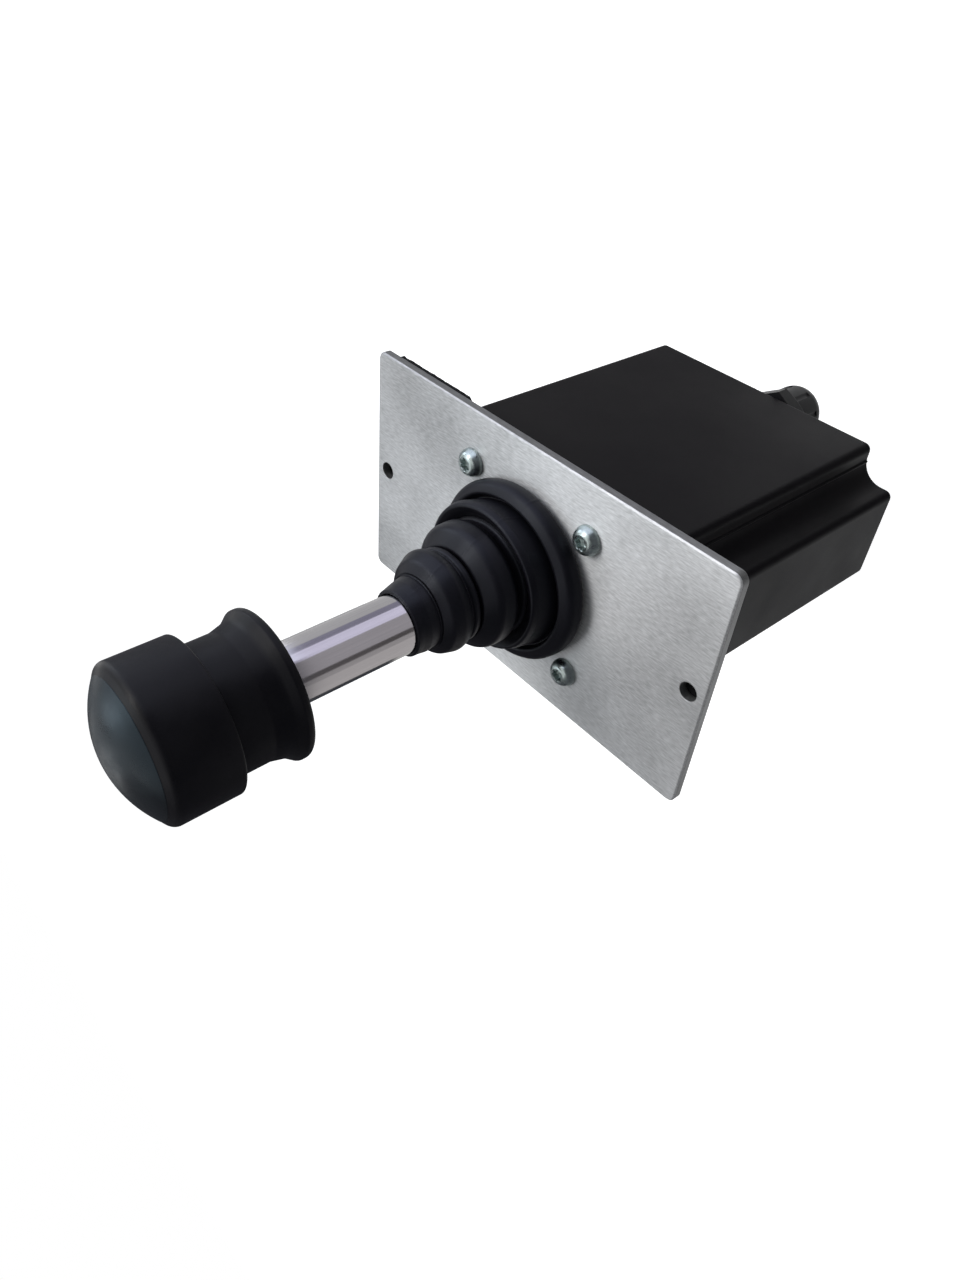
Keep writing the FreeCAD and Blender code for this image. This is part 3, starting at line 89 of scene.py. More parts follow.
@dataclass(frozen=True)
class Finish:
    """A surface finish: its colour, gloss, fine grain, larger patches of tone and painted shade on a
    sheet's edges.
    """

    name: str
    colour: Triple
    metallic: float
    roughness: float
    grain: Grain
    grain_height: float = 0.02
    grain_strength: float = 0.3
    specular: float = 0.5
    specular_tint: Triple = (1.0, 1.0, 1.0)
    tone_spread: float = 0.15
    gloss_spread: float = 0.08
    patch_scale: float = 70.0
    patch_shift: tuple[float, float] = (0.0, 0.0)
    grain_share: float = 0.5
    # Share of the colour kept on faces square to the sheet, its edges: below 1 this is painted shade.
    edge_painted_shade: float = 1.0
    edge_round: float = 0.25
    stretch: float = 0.0
    coat: float = 0.0

    def material(self) -> bpy.types.Material:
        """Gives the finish as a material, made once.

        Returns:
            The procedural material of this finish.
        """
        found = bpy.data.materials.get(self.name)
        if found is not None:
            return found
        material = bpy.data.materials.new(self.name)
        material.use_nodes = True
        material.diffuse_color = (*self.colour, 1.0)
        tree = material.node_tree
        shader = tree.nodes["Principled BSDF"]
        shader.inputs["Metallic"].default_value = self.metallic
        shader.inputs["Specular IOR Level"].default_value = self.specular
        shader.inputs["Specular Tint"].default_value = (*self.specular_tint, 1.0)
        shader.inputs["Coat Weight"].default_value = self.coat
        shader.inputs["Anisotropic"].default_value = self.stretch
        if self.stretch:
            tree.links.new(self._across(tree), shader.inputs["Tangent"])
        place = tree.nodes.new("ShaderNodeTexCoord").outputs["Object"]
        grain = self._noise(tree, place, self.grain.value, (0.0, 0.0), GRAIN_DETAIL)
        patches = self._noise(tree, place, (self.patch_scale,) * 3, self.patch_shift, PATCH_DETAIL)
        tone = self._tone(tree, patches, grain)
        # Painted shade: the sheet's edges are darkened as if they lay in shade.
        if self.edge_painted_shade != 1.0:
            tone = self._paint_edge_shade(tree, tone)
        tree.links.new(tone, shader.inputs["Base Color"])
        tree.links.new(self._gloss(tree, patches, grain), shader.inputs["Roughness"])
        tree.links.new(self._relief(tree, grain), shader.inputs["Normal"])
        return material

    def _across(self, tree: bpy.types.NodeTree) -> bpy.types.NodeSocket:
        """Adds the direction across the brushing, the part's own Y, in which reflections spread.

        Args:
            tree: The material's nodes.

        Returns:
            The direction's socket.
        """
        turn = tree.nodes.new("ShaderNodeVectorTransform")
        turn.vector_type, turn.convert_from, turn.convert_to = "VECTOR", "OBJECT", "WORLD"
        turn.inputs["Vector"].default_value = (0.0, 1.0, 0.0)
        return turn.outputs["Vector"]

    def _noise(self, tree: bpy.types.NodeTree, place: bpy.types.NodeSocket,
               scale: Triple, shift: tuple[float, float], detail: float) -> bpy.types.NodeSocket:
        """Adds a noise over the part's own frame.

        Args:
            tree: The material's nodes.
            place: Socket with the place on the part.
            scale: Noise cells per metre along X, Y and Z.
            shift: Cells by which the noise is moved along X and Y.
            detail: How many finer layers the noise has.

        Returns:
            The noise's value socket.
        """
        mapping = tree.nodes.new("ShaderNodeMapping")
        mapping.inputs["Scale"].default_value = scale
        mapping.inputs["Location"].default_value = (*shift, 0.0)
        texture = tree.nodes.new("ShaderNodeTexNoise")
        texture.inputs["Scale"].default_value = 1.0
        texture.inputs["Detail"].default_value = detail
        tree.links.new(place, mapping.inputs["Vector"])
        tree.links.new(mapping.outputs["Vector"], texture.inputs["Vector"])
        return texture.outputs["Fac"]

    def _ramp(self, tree: bpy.types.NodeTree, value: bpy.types.NodeSocket,
              span: tuple[float, float], low: float, high: float) -> bpy.types.NodeSocket:
        """Maps a span of a value onto a range.

        Args:
            tree: The material's nodes.
            value: The value's socket.
            span: Where the span starts and ends.
            low: Result at the span's start.
            high: Result at the span's end.

        Returns:
            The mapped value's socket.
        """
        ramp = tree.nodes.new("ShaderNodeMapRange")
        for name, number in zip(("From Min", "From Max", "To Min", "To Max"), (*span, low, high)):
            ramp.inputs[name].default_value = number
        tree.links.new(value, ramp.inputs["Value"])
        return ramp.outputs["Result"]

    def _tone(self, tree: bpy.types.NodeTree, patches: bpy.types.NodeSocket,
              grain: bpy.types.NodeSocket) -> bpy.types.NodeSocket:
        """Varies the colour by patches and by the grain.

        Args:
            tree: The material's nodes.
            patches: Value socket of the large noise.
            grain: Value socket of the fine noise.

        Returns:
            The colour's socket.
        """
        added = tree.nodes.new("ShaderNodeMath")
        added.operation = "ADD"
        tree.links.new(self._ramp(tree, patches, NOISE_SPAN, 0.0, 1 - self.grain_share), added.inputs[0])
        tree.links.new(self._ramp(tree, grain, NOISE_SPAN, 0.0, self.grain_share), added.inputs[1])
        mix = tree.nodes.new("ShaderNodeMix")
        mix.data_type = "RGBA"
        mix_a, mix_b = [socket for socket in mix.inputs if socket.type == "RGBA"]
        mix_a.default_value = (*(c * (1 - self.tone_spread) for c in self.colour), 1.0)
        mix_b.default_value = (*(min(1.0, c * (1 + self.tone_spread)) for c in self.colour), 1.0)
        tree.links.new(added.outputs["Value"], mix.inputs["Factor"])
        return next(socket for socket in mix.outputs if socket.type == "RGBA")

    def _paint_edge_shade(self, tree: bpy.types.NodeTree, tone: bpy.types.NodeSocket) -> bpy.types.NodeSocket:
        """Paints shade onto a sheet's edges, which lie square to its faces, darkening them below 1 and
        lightening them above 1.

        Args:
            tree: The material's nodes.
            tone: The colour's socket.

        Returns:
            The changed colour's socket.
        """
        facing = tree.nodes.new("ShaderNodeTexCoord").outputs["Normal"]
        split = tree.nodes.new("ShaderNodeSeparateXYZ")
        flat = tree.nodes.new("ShaderNodeMath")
        flat.operation = "ABSOLUTE"
        scaled = tree.nodes.new("ShaderNodeVectorMath")
        scaled.operation = "SCALE"
        tree.links.new(facing, split.inputs["Vector"])
        tree.links.new(split.outputs["Z"], flat.inputs[0])
        share = self._ramp(tree, flat.outputs["Value"], FACING_SPAN, self.edge_painted_shade, 1.0)
        tree.links.new(tone, scaled.inputs[0])
        tree.links.new(share, scaled.inputs["Scale"])
        return scaled.outputs["Vector"]

    def _gloss(self, tree: bpy.types.NodeTree, patches: bpy.types.NodeSocket,
               grain: bpy.types.NodeSocket) -> bpy.types.NodeSocket:
        """Varies the roughness by patches and by the grain.

        Args:
            tree: The material's nodes.
            patches: Value socket of the large noise.
            grain: Value socket of the fine noise.

        Returns:
            The roughness socket.
        """
        spread = self.gloss_spread
        fine_spread = FINE_GLOSS_SHARE * spread
        base = self._ramp(tree, patches, NOISE_SPAN, self.roughness - spread, self.roughness + spread)
        fine = self._ramp(tree, grain, NOISE_SPAN, -fine_spread, fine_spread)
        total = tree.nodes.new("ShaderNodeMath")
        total.operation = "ADD"
        total.use_clamp = True
        tree.links.new(base, total.inputs[0])
        tree.links.new(fine, total.inputs[1])
        return total.outputs["Value"]

    def _relief(self, tree: bpy.types.NodeTree, grain: bpy.types.NodeSocket) -> bpy.types.NodeSocket:
        """Turns the grain into relief over softly rounded edges.

        Args:
            tree: The material's nodes.
            grain: Value socket of the fine noise.

        Returns:
            The normal's socket.
        """
        edge = tree.nodes.new("ShaderNodeBevel")
        edge.samples = 4
        edge.inputs["Radius"].default_value = self.edge_round * MM
        bump = tree.nodes.new("ShaderNodeBump")
        bump.inputs["Strength"].default_value = self.grain_strength
        bump.inputs["Distance"].default_value = self.grain_height * MM
        tree.links.new(grain, bump.inputs["Height"])
        tree.links.new(edge.outputs["Normal"], bump.inputs["Normal"])
        return bump.outputs["Normal"]


PLATE = Finish("plate_brushed", (0.50, 0.506, 0.512), 0.6, 0.42, Grain.BRUSHED, 0.008, 0.6,
               # Its tone patches are random, but shifted so that lighter and darker ones lie where
               # reflections brighten and darken the plate: partly painted reflection.
               specular=0.35, tone_spread=0.26, gloss_spread=0.06, patch_scale=26.0, patch_shift=(8.0, 2.7),
               # Its edges are darkened as painted shade.
               grain_share=0.66, edge_painted_shade=0.29, edge_round=0.55, stretch=0.8)
TUBE = Finish("tube_polished", (0.52, 0.51, 0.53), 1.0, 0.13, Grain.DRAWN, 0.005, 0.4,
              tone_spread=0.10, gloss_spread=0.05, patch_scale=30.0)
# The rubber's bluish specular tint paints a bluish sheen into its reflections.
RUBBER = Finish("bellows_rubber", (0.0040, 0.0037, 0.0058), 0.0, 0.40, Grain.RUBBER, 0.012, 0.35,
                specular=0.24, specular_tint=(0.82, 0.87, 1.0), tone_spread=0.3, gloss_spread=0.08,
                edge_round=0.15)
GASKET = Finish("gasket_rubber", (0.006, 0.006, 0.007), 0.0, 0.7, Grain.RUBBER, 0.02, 0.4, specular=0.08)
GRIP = Finish("grip_plastic", (0.0052, 0.0050, 0.0070), 0.0, 0.42, Grain.MOULDED, 0.010, 0.30,
              specular=0.13, tone_spread=0.25, gloss_spread=0.10, patch_scale=110.0, edge_round=0.3)
# Worn top of the knob: glossier from wear, with a teal specular tint and a bluish colour that paint a teal
# sheen.
WORN_SHEEN_GRIP = Finish("grip_worn_sheen", (0.0060, 0.0068, 0.0088), 0.0, 0.36, Grain.MOULDED, 0.014, 0.35,
                   specular=0.27, specular_tint=(0.50, 0.80, 1.0), tone_spread=0.3, gloss_spread=0.10,
                   patch_scale=140.0, edge_round=0.3)
COVER = Finish("cover_moulded", (0.0054, 0.0048, 0.0060), 0.0, 0.50, Grain.MOULDED, 0.012, 0.35,
               specular=0.06, tone_spread=0.15, gloss_spread=0.05, patch_scale=35.0, edge_round=0.5)
GLAND = Finish("gland_nylon", (0.010, 0.010, 0.011), 0.0, 0.45, Grain.MOULDED, 0.010, 0.3,
               specular=0.12, edge_round=0.35)
ZINC = Finish("screw_zinc", (0.42, 0.48, 0.47), 1.0, 0.30, Grain.PLATED, 0.004, 0.12,
              tone_spread=0.2, gloss_spread=0.08, patch_scale=500.0, edge_round=0.12)
SHEET_STEEL = Finish("frame_zinc_sheet", (0.56, 0.56, 0.53), 1.0, 0.36, Grain.PLATED, 0.008, 0.3,
                     tone_spread=0.18, gloss_spread=0.1)
CASTING = Finish("casting_zinc", (0.42, 0.43, 0.44), 1.0, 0.46, Grain.CAST, 0.02, 0.4,
                 tone_spread=0.15, gloss_spread=0.08)
HARD_STEEL = Finish("hardened_steel", (0.33, 0.32, 0.31), 1.0, 0.28, Grain.PLATED, 0.004, 0.2)
SPRING_STEEL = Finish("spring_steel", (0.40, 0.39, 0.37), 1.0, 0.30, Grain.PLATED, 0.004, 0.2)
BRONZE = Finish("bush_bronze", (0.52, 0.33, 0.16), 1.0, 0.35, Grain.CAST, 0.01, 0.3, tone_spread=0.2)
BRASS = Finish("insert_brass", (0.70, 0.52, 0.22), 1.0, 0.28, Grain.PLATED, 0.006, 0.25, tone_spread=0.15)
WHITE_PLASTIC = Finish("acetal_white", (0.78, 0.77, 0.73), 0.0, 0.38, Grain.MOULDED, 0.01, 0.2,
                       tone_spread=0.04)
SENSOR_CASE = Finish("sensor_case", (0.035, 0.05, 0.09), 0.0, 0.4, Grain.MOULDED, 0.01, 0.3)
BOARD = Finish("board_laminate", (0.02, 0.10, 0.045), 0.0, 0.32, Grain.WOVEN, 0.01, 0.3, coat=0.3)
TERMINAL = Finish("terminal_plastic", (0.03, 0.14, 0.07), 0.0, 0.42, Grain.MOULDED, 0.01, 0.3)

FINISH_GROUPS: tuple[tuple[Finish, str, tuple[str, ...]], ...] = (
    (PLATE, "plate", ("mounting_plate",)),
    (TUBE, "tube", ("lever_tube",)),
    (RUBBER, "rubber", ("boot",)),
    (GASKET, "rubber", ("panel_gasket", "gland_ring", "gland_seal")),
    (GRIP, "grip", ("knob_cap", "release_collar")),
    (GLAND, "grip", ("gland_body", "gland_nut")),
    (COVER, "cover", ("housing_cover",)),
    (ZINC, "zinc", ("plate_screws", "clinch_nuts", "gate_screws", "sector_screws", "sensor_nut",
                    "bracket_screws", "cover_posts", "cover_screws")),
    (SHEET_STEEL, "frame", ("cheek_upper", "cheek_lower", "spacer_bars", "rear_bracket", "tube_plug",
                            "lock_rod", "sensor_shaft")),
    (CASTING, "casting", ("lever_block",)),
    (HARD_STEEL, "hard_steel", ("stop_bar", "lock_gate", "spring_anchor", "tube_pins", "gear_sector",
                                "cross_pin", "lock_pin")),
    (SPRING_STEEL, "spring_steel", ("centring_spring", "collar_spring", "pivot_circlips")),
    (BRONZE, "bronze", ("pivot_bushes", "sensor_bush")),
    (BRASS, "brass", ("knob_insert",)),
    (WHITE_PLASTIC, "white_plastic", ("rod_guide", "sensor_pinion", "board_standoffs")),
    (SENSOR_CASE, "sensor_case", ("sensor_body",)),
    (BOARD, "board", ("circuit_board",)),
    (TERMINAL, "terminal", ("terminal_block",)),
)
NODE_FINISH = {name: (finish, slot) for finish, slot, names in FINISH_GROUPS for name in names}


def rounded(corners: list[Triple], steps: int = 6) -> Profile:
    """Rounds the corners of an open outline.

    Args:
        corners: Each corner's radius from the axis, height and rounding, in millimetres.
        steps: Points along each rounding, less one.

    Returns:
        The outline's points in millimetres.
    """
    points: Profile = []
    for index, (radius, height, rounding) in enumerate(corners):
        here = Vector((radius, height))
        if rounding <= 0 or index in (0, len(corners) - 1):
            points.append((radius, height))
            continue
        before = (Vector(corners[index - 1][:2]) - here).normalized()
        after = (Vector(corners[index + 1][:2]) - here).normalized()
        half = before.angle(after) / 2
        reach = rounding / math.tan(half)
        centre = here + (before + after).normalized() * (rounding / math.sin(half))
        start, end = here + before * reach - centre, here + after * reach - centre
        turn = start.angle_signed(end)
        for step in range(steps + 1):
            angle = -turn * step / steps
            points.append((centre.x + start.x * math.cos(angle) - start.y * math.sin(angle),
                           centre.y + start.x * math.sin(angle) + start.y * math.cos(angle)))
    return points


def corner_box(half_x: float, half_y: float, corner: float) -> Profile:
    """Outline of a box with round corners, from the right side upwards.

    Args:
        half_x: Half its length.
        half_y: Half its width.
        corner: Radius of its corners.

    Returns:
        The outline's points.
    """
    points = []
    for side_x, side_y, start in ((1, 1, 0), (-1, 1, 90), (-1, -1, 180), (1, -1, 270)):
        for step in range(CORNER_STEPS + 1):
            angle = math.radians(start + 90 * step / CORNER_STEPS)
            points.append((side_x * (half_x - corner) + corner * math.cos(angle),
                           side_y * (half_y - corner) + corner * math.sin(angle)))
    return points


def mesh_piece(name: str, points: list[Vector], faces: Loops, finish: Finish,
               crease: float) -> bpy.types.Object:
    """Makes a smooth-shaded piece from its points and faces.

    Args:
        name: The piece's name.
        points: Its points in metres.
        faces: Indices of each face's points.
        finish: The finish that it takes.
        crease: Angle in degrees over which an edge stays sharp.

    Returns:
        The piece, linked to the scene.
    """
    mesh = bpy.data.meshes.new(name)
    mesh.from_pydata([tuple(p) for p in points], [], faces)
    mesh.validate()
    mesh.polygons.foreach_set("use_smooth", [True] * len(mesh.polygons))
    mesh.set_sharp_from_angle(angle=math.radians(crease))
    mesh.materials.append(finish.material())
    piece = bpy.data.objects.new(name, mesh)
    bpy.context.scene.collection.objects.link(piece)
    return piece


def ring_faces(rings: int, spokes: int, closed: bool) -> Loops:
    """Joins rings of points into quads.

    Args:
        rings: Number of rings.
        spokes: Points in each ring.
        closed: Whether the last ring joins the first.

    Returns:
        The faces, turned outwards for an outline that runs upwards outside.
    """
    faces = []
    for ring in range(rings if closed else rings - 1):
        above = (ring + 1) % rings
        for spoke in range(spokes):
            after = (spoke + 1) % spokes
            faces.append((ring * spokes + spoke, ring * spokes + after,
                          above * spokes + after, above * spokes + spoke))
    return faces


def cap_faces(ring: int, spokes: int, pole: int, upwards: bool) -> Loops:
    """Closes a ring onto one point.

    Args:
        ring: Index of the ring.
        spokes: Points in each ring.
        pole: Index of the point on the axis.
        upwards: Whether the cap faces along the outline's end.

    Returns:
        The triangles of the cap.
    """
    faces = []
    for spoke in range(spokes):
        here, after = ring * spokes + spoke, ring * spokes + (spoke + 1) % spokes
        faces.append((here, after, pole) if upwards else (after, here, pole))
    return faces


@dataclass
class FacePlate:
    """Screws of the brushed plate and the gasket that peeps out behind it."""

    thickness: float = 2.5
    screw_square: float = 44.0
    head_radius: float = 4.05
    head_height: float = 3.1
    head_rim: float = 0.9
    head_gap: float = 0.02
    neck_radius: float = 2.2
    shoulder_radius: float = 3.45
    shoulder_height: float = 2.3
    flat_radius: float = 2.5
    mouth_radius: float = 1.98
    shank_radius: float = 1.9
    shank_length: float = 7.9
    tip_length: float = 0.2
    recess_radius: float = 1.95
    recess_waist: float = 0.75
    recess_fullness: float = 0.8
    recess_depth: float = 1.7
    recess_edge_depth: float = 0.12
    recess_shares: Triple = (1.03, 0.97, 0.95)
    recess_turns: tuple[float, ...] = (12.0, 41.0, 27.0, 3.0)
    floor_radius: float = 0.55
    floor_drop: float = 0.25
    centre_drop: float = 0.3
    spokes: int = 72
    gasket_half: tuple[float, float] = (64.2, 36.2)
    gasket_corner: float = 1.7
    gasket_window: tuple[float, float] = (50.0, 28.5)
    window_corner: float = 2.5
    gasket_thickness: float = 1.0
    gasket_hole: float = 1.25
    hole_steps: int = 24
    mount_half: float = 60.0
    strip_ends: tuple[float, float] = (-59.0, -28.0)
    strip_edge: float = 37.28
    strip_steps: int = 62
    strip_taper: float = 0.45
    strip_sway: float = 0.32
    strip_waves: tuple[Triple, ...] = ((0.42, 3.0, 1.0), (1.1, 8.0, 0.5))

    def build(self) -> list[bpy.types.Object]:
        """Makes the screws and the gasket.

        Returns:
            The pieces made.
        """
        return [self._screws(), self._gasket()]

    def _lobe(self, angle: float) -> float:
        """Radius of the six-lobe recess at an angle.

        Args:
            angle: Angle from a lobe's middle, in radians.

        Returns:
            The radius in millimetres.
        """
        wave = 0.5 + 0.5 * math.cos(6 * angle)
        lobe = wave ** self.recess_fullness
        return self.recess_radius * (self.recess_waist + (1 - self.recess_waist) * lobe)

    def _screw(self, x: float, y: float, turn: float) -> tuple[list[Vector], Loops]:
        """Makes one pan head with its recess, on a short shank.

        Args:
            x: Place along the plate, in millimetres.
            y: Place across the plate, in millimetres.
            turn: How far the recess is turned, in degrees.

        Returns:
            The points in metres and the faces.
        """
        top, gap = self.head_height, self.head_gap
        floor = top - self.recess_depth
        outline = [(self.shank_radius, -self.shank_length), (self.shank_radius, gap)] + rounded([
            (self.neck_radius, gap, 0),
            (self.head_radius, gap, 0.15),
            (self.head_radius, self.head_rim, 0.5),
            (self.shoulder_radius, self.shoulder_height, 1.6),
            (self.flat_radius, top, 1.3),
            (self.mouth_radius, top, 0)])
        rings = [[(r, z) for _ in range(self.spokes)] for r, z in outline]
        angles = [2 * math.pi * spoke / self.spokes for spoke in range(self.spokes)]
        for share, depth in zip(self.recess_shares, (0.0, self.recess_edge_depth, self.recess_depth)):
            rings.append([(self._lobe(a - math.radians(turn)) * share, top - depth) for a in angles])
        rings.append([(self.floor_radius, floor - self.floor_drop) for _ in angles])
        points = [Vector((x + r * math.cos(a), y + r * math.sin(a), self.thickness + z)) * MM
                  for ring in rings for (r, z), a in zip(ring, angles)]
        points.append(Vector((x, y, self.thickness + floor - self.centre_drop)) * MM)
        points.append(Vector((x, y, self.thickness - self.shank_length - self.tip_length)) * MM)
        faces = ring_faces(len(rings), self.spokes, False)
        faces += cap_faces(len(rings) - 1, self.spokes, len(points) - 2, True)
        faces += cap_faces(0, self.spokes, len(points) - 1, False)
        return points, faces

    def _screws(self) -> bpy.types.Object:
        """Makes the four screws as one piece.

        Returns:
            The piece that stands for the plate's screws.
        """
        half = self.screw_square / 2
        points: list[Vector] = []
        faces: Loops = []
        places = ((-half, -half), (-half, half), (half, -half), (half, half))
        for (x, y), turn in zip(places, self.recess_turns):
            more, loops = self._screw(x, y, turn)
            faces += [tuple(index + len(points) for index in loop) for loop in loops]
            points += more
        piece = mesh_piece("plate_screw_heads", points, faces, ZINC, crease=38.0)
        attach(piece, "base")
        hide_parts("plate_screws")
        return piece

    def _gasket_edge(self) -> Profile:
        """Outer edge of the gasket, with the wavy strip that peeps out above the plate.

        Returns:
            The edge's points in millimetres.
        """
        half_x, half_y = self.gasket_half
        left, right = self.strip_ends
        edge = corner_box(half_x, half_y, self.gasket_corner)
        strip = []
        for step in range(self.strip_steps + 1):
            x = right + (left - right) * step / self.strip_steps
            taper = min(1.0, self.strip_taper * step, self.strip_taper * (self.strip_steps - step))
            wave = sum(weight * noise.noise(Vector((x * pace, row, 0.0)))
                       for pace, row, weight in self.strip_waves)
            top = self.strip_edge + self.strip_sway * (min(0.5, wave) - 0.5)
            strip.append((x, half_y + (top - half_y) * taper))
        after = next(index for index, (x, y) in enumerate(edge) if y > half_y - 0.01 and x < left)
        return edge[:after] + strip + edge[after:]

    def _gasket(self) -> bpy.types.Object:
        """Makes the gasket as a thin sheet with a window and pierced holes.

        Returns:
            The piece that stands for the gasket.
        """
        turns = [2 * math.pi * step / self.hole_steps for step in range(self.hole_steps)]
        loops = [self._gasket_edge(), corner_box(*self.gasket_window, self.window_corner)]
        loops += [[(side * self.mount_half + self.gasket_hole * math.cos(a), self.gasket_hole * math.sin(a))
                   for a in turns] for side in (-1, 1)]
        curve = bpy.data.curves.new("gasket_outline", "CURVE")
        curve.dimensions, curve.fill_mode = "2D", "BOTH"
        curve.extrude = self.gasket_thickness / 2 * MM
        for loop in loops:
            spline = curve.splines.new("POLY")
            spline.points.add(len(loop) - 1)
            spline.use_cyclic_u = True
            for point, (x, y) in zip(spline.points, loop):
                point.co = (x * MM, y * MM, 0.0, 1.0)
        outline = bpy.data.objects.new("gasket_outline", curve)
        mesh = bpy.data.meshes.new_from_object(outline)
        bpy.data.objects.remove(outline)
        mesh.transform(Matrix.Translation((0.0, 0.0, -self.gasket_thickness / 2 * MM)))
        mesh.materials.clear()
        mesh.materials.append(GASKET.material())
        piece = bpy.data.objects.new("gasket_sheet", mesh)
        bpy.context.scene.collection.objects.link(piece)
        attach(piece, "base")
        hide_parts("panel_gasket")
        return piece


@dataclass
class Bellows:
    """Rubber bellows with four folds and a cuff, leaning a little towards one side."""

    seat: float = 2.5
    lean: tuple[float, float] = (-0.669, 0.743)
    spokes: int = 120
    crease: float = 50.0
    seams: tuple[float, float] = (78.0, 258.0)
    seam_steps: int = 7
    seam_step: float = 0.45
    seam_height: float = 0.07
    seam_width: float = 0.4
    uneven_from: float = 1.0
    uneven_to: float = 39.0
    swell: float = 0.16
    swell_turns: float = 1.6
    swell_rise: float = 0.16
    outside_steps: int = 6
    inside_steps: int = 3
    lean_places: list[tuple[float, float]] = field(default_factory=lambda: [
        (-9.0, 0.0), (0.5, 0.0), (4.0, 0.35), (12.3, 1.9), (18.0, 1.75), (23.3, 1.6), (29.2, 1.45),
        (34.8, 0.7), (38.5, 0.35), (41.5, 0.1), (60.0, 0.0)])
    outside: list[Triple] = field(default_factory=lambda: [
        (22.9, -2.7, 0.0),
        (21.4, -2.7, 0.0),
        (21.4, 0.03, 0.15),
        (23.9, 0.03, 0.3),
        (24.1, 0.8, 0.3),
        (25.7, 0.9, 1.5),
        (25.7, 5.4, 2.6),
        (22.2, 7.4, 0.9),
        (21.3, 4.9, 0.35),
        (20.7, 4.9, 0.3),
        (20.9, 11.6, 0.9),
        (20.3, 13.9, 0.8),
        (18.0, 12.6, 0.9),
        (15.3, 10.6, 0.9),
        (15.4, 13.4, 1.0),
        (17.3, 15.4, 2.4),
        (17.2, 20.2, 3.4),
        (12.8, 23.7, 1.2),
        (11.4, 22.7, 0.4),
        (11.4, 23.6, 0.35),
        (13.0, 24.1, 0.7),
        (12.9, 25.6, 0.8),
        (11.7, 26.2, 0.35),
        (13.3, 26.7, 1.3),
        (14.1, 29.2, 2.8),
        (12.7, 32.8, 2.6),
        (10.2, 34.7, 0.6),
        (9.6, 34.1, 0.3),
        (9.8, 35.4, 0.4),
        (9.7, 37.6, 1.5),
        (9.25, 39.6, 1.5),
        (9.0, 41.3, 0.2),
        (8.5, 41.5, 0.1),
        (8.15, 41.5, 0.0),
    ])
    inside: list[Triple] = field(default_factory=lambda: [
        (8.15, 41.5, 0.0),
        (8.15, 37.0, 0.5),
        (8.9, 33.6, 0.5),
        (11.6, 31.0, 1.5),
        (11.8, 28.0, 1.0),
        (9.4, 25.6, 0.5),
        (9.2, 22.4, 0.5),
        (14.6, 20.0, 1.5),
        (15.3, 17.4, 1.0),
        (13.3, 14.8, 0.5),
        (13.4, 11.0, 0.5),
        (19.2, 12.1, 0.8),
        (17.3, 9.4, 1.0),
        (17.6, 4.8, 0.5),
        (20.5, 3.4, 0.5),
        (19.6, 0.0, 0.5),
        (19.6, -3.7, 0.0),
        (22.9, -3.7, 0.0),
    ])

    def build(self) -> list[bpy.types.Object]:
        """Makes the bellows, bent between plate and lever.

        Returns:
            The pieces made.
        """
        profile = rounded(self.outside, self.outside_steps) + rounded(self.inside, self.inside_steps)[1:-1]
        angles = self._angles()
        points = []
        for radius, height in profile:
            shift = self._lean(height)
            for angle in angles:
                r = radius + self._unevenness(angle, height, radius)
                points.append(Vector((r * math.cos(angle) + shift * self.lean[0],
                                      r * math.sin(angle) + shift * self.lean[1],
                                      self.seat + height)) * MM)
        faces = ring_faces(len(profile), len(angles), True)
        piece = mesh_piece("bellows", points, faces, RUBBER, self.crease)
        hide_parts("boot")
        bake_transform(piece)
        return [piece]

    def _angles(self) -> list[float]:
        """Places round the axis, closer together at the two seams.

        Returns:
            The angles in radians, in rising order.
        """
        turns = {360 * spoke / self.spokes for spoke in range(self.spokes)}
        near = [self.seam_step * step for step in range(-self.seam_steps, self.seam_steps + 1)]
        turns |= {(seam + away) % 360 for seam in self.seams for away in near}
        return [math.radians(turn) for turn in sorted(turns)]

    def _lean(self, height: float) -> float:
        """Shift of a fold off the axis at a height, in millimetres.

        Args:
            height: Height above the plate in millimetres.

        Returns:
            The shift in millimetres.
        """
        for (low, first), (high, second) in zip(self.lean_places, self.lean_places[1:]):
            if height <= high:
                share = (height - low) / (high - low)
                share = share * share * (3 - 2 * share)
                return first + share * (second - first)
        return 0.0

    def _unevenness(self, angle: float, height: float, radius: float) -> float:
        """Small swell of the rubber and the two moulding seams, in millimetres.

        Args:
            angle: Angle round the axis in radians.
            height: Height above the plate in millimetres.
            radius: Radius of the outline there in millimetres.

        Returns:
            What is added to the radius, in millimetres.
        """
        if height < self.uneven_from or height > self.uneven_to:
            return 0.0
        place = Vector((self.swell_turns * math.cos(angle), self.swell_turns * math.sin(angle),
                        height * self.swell_rise))
        swell = self.swell * noise.noise(place)
        seam = 0.0
        for line in map(math.radians, self.seams):
            away = math.atan2(math.sin(angle - line), math.cos(angle - line)) * radius
            seam = max(seam, self.seam_height * math.exp(-(away / self.seam_width) ** 2))
        return swell + seam


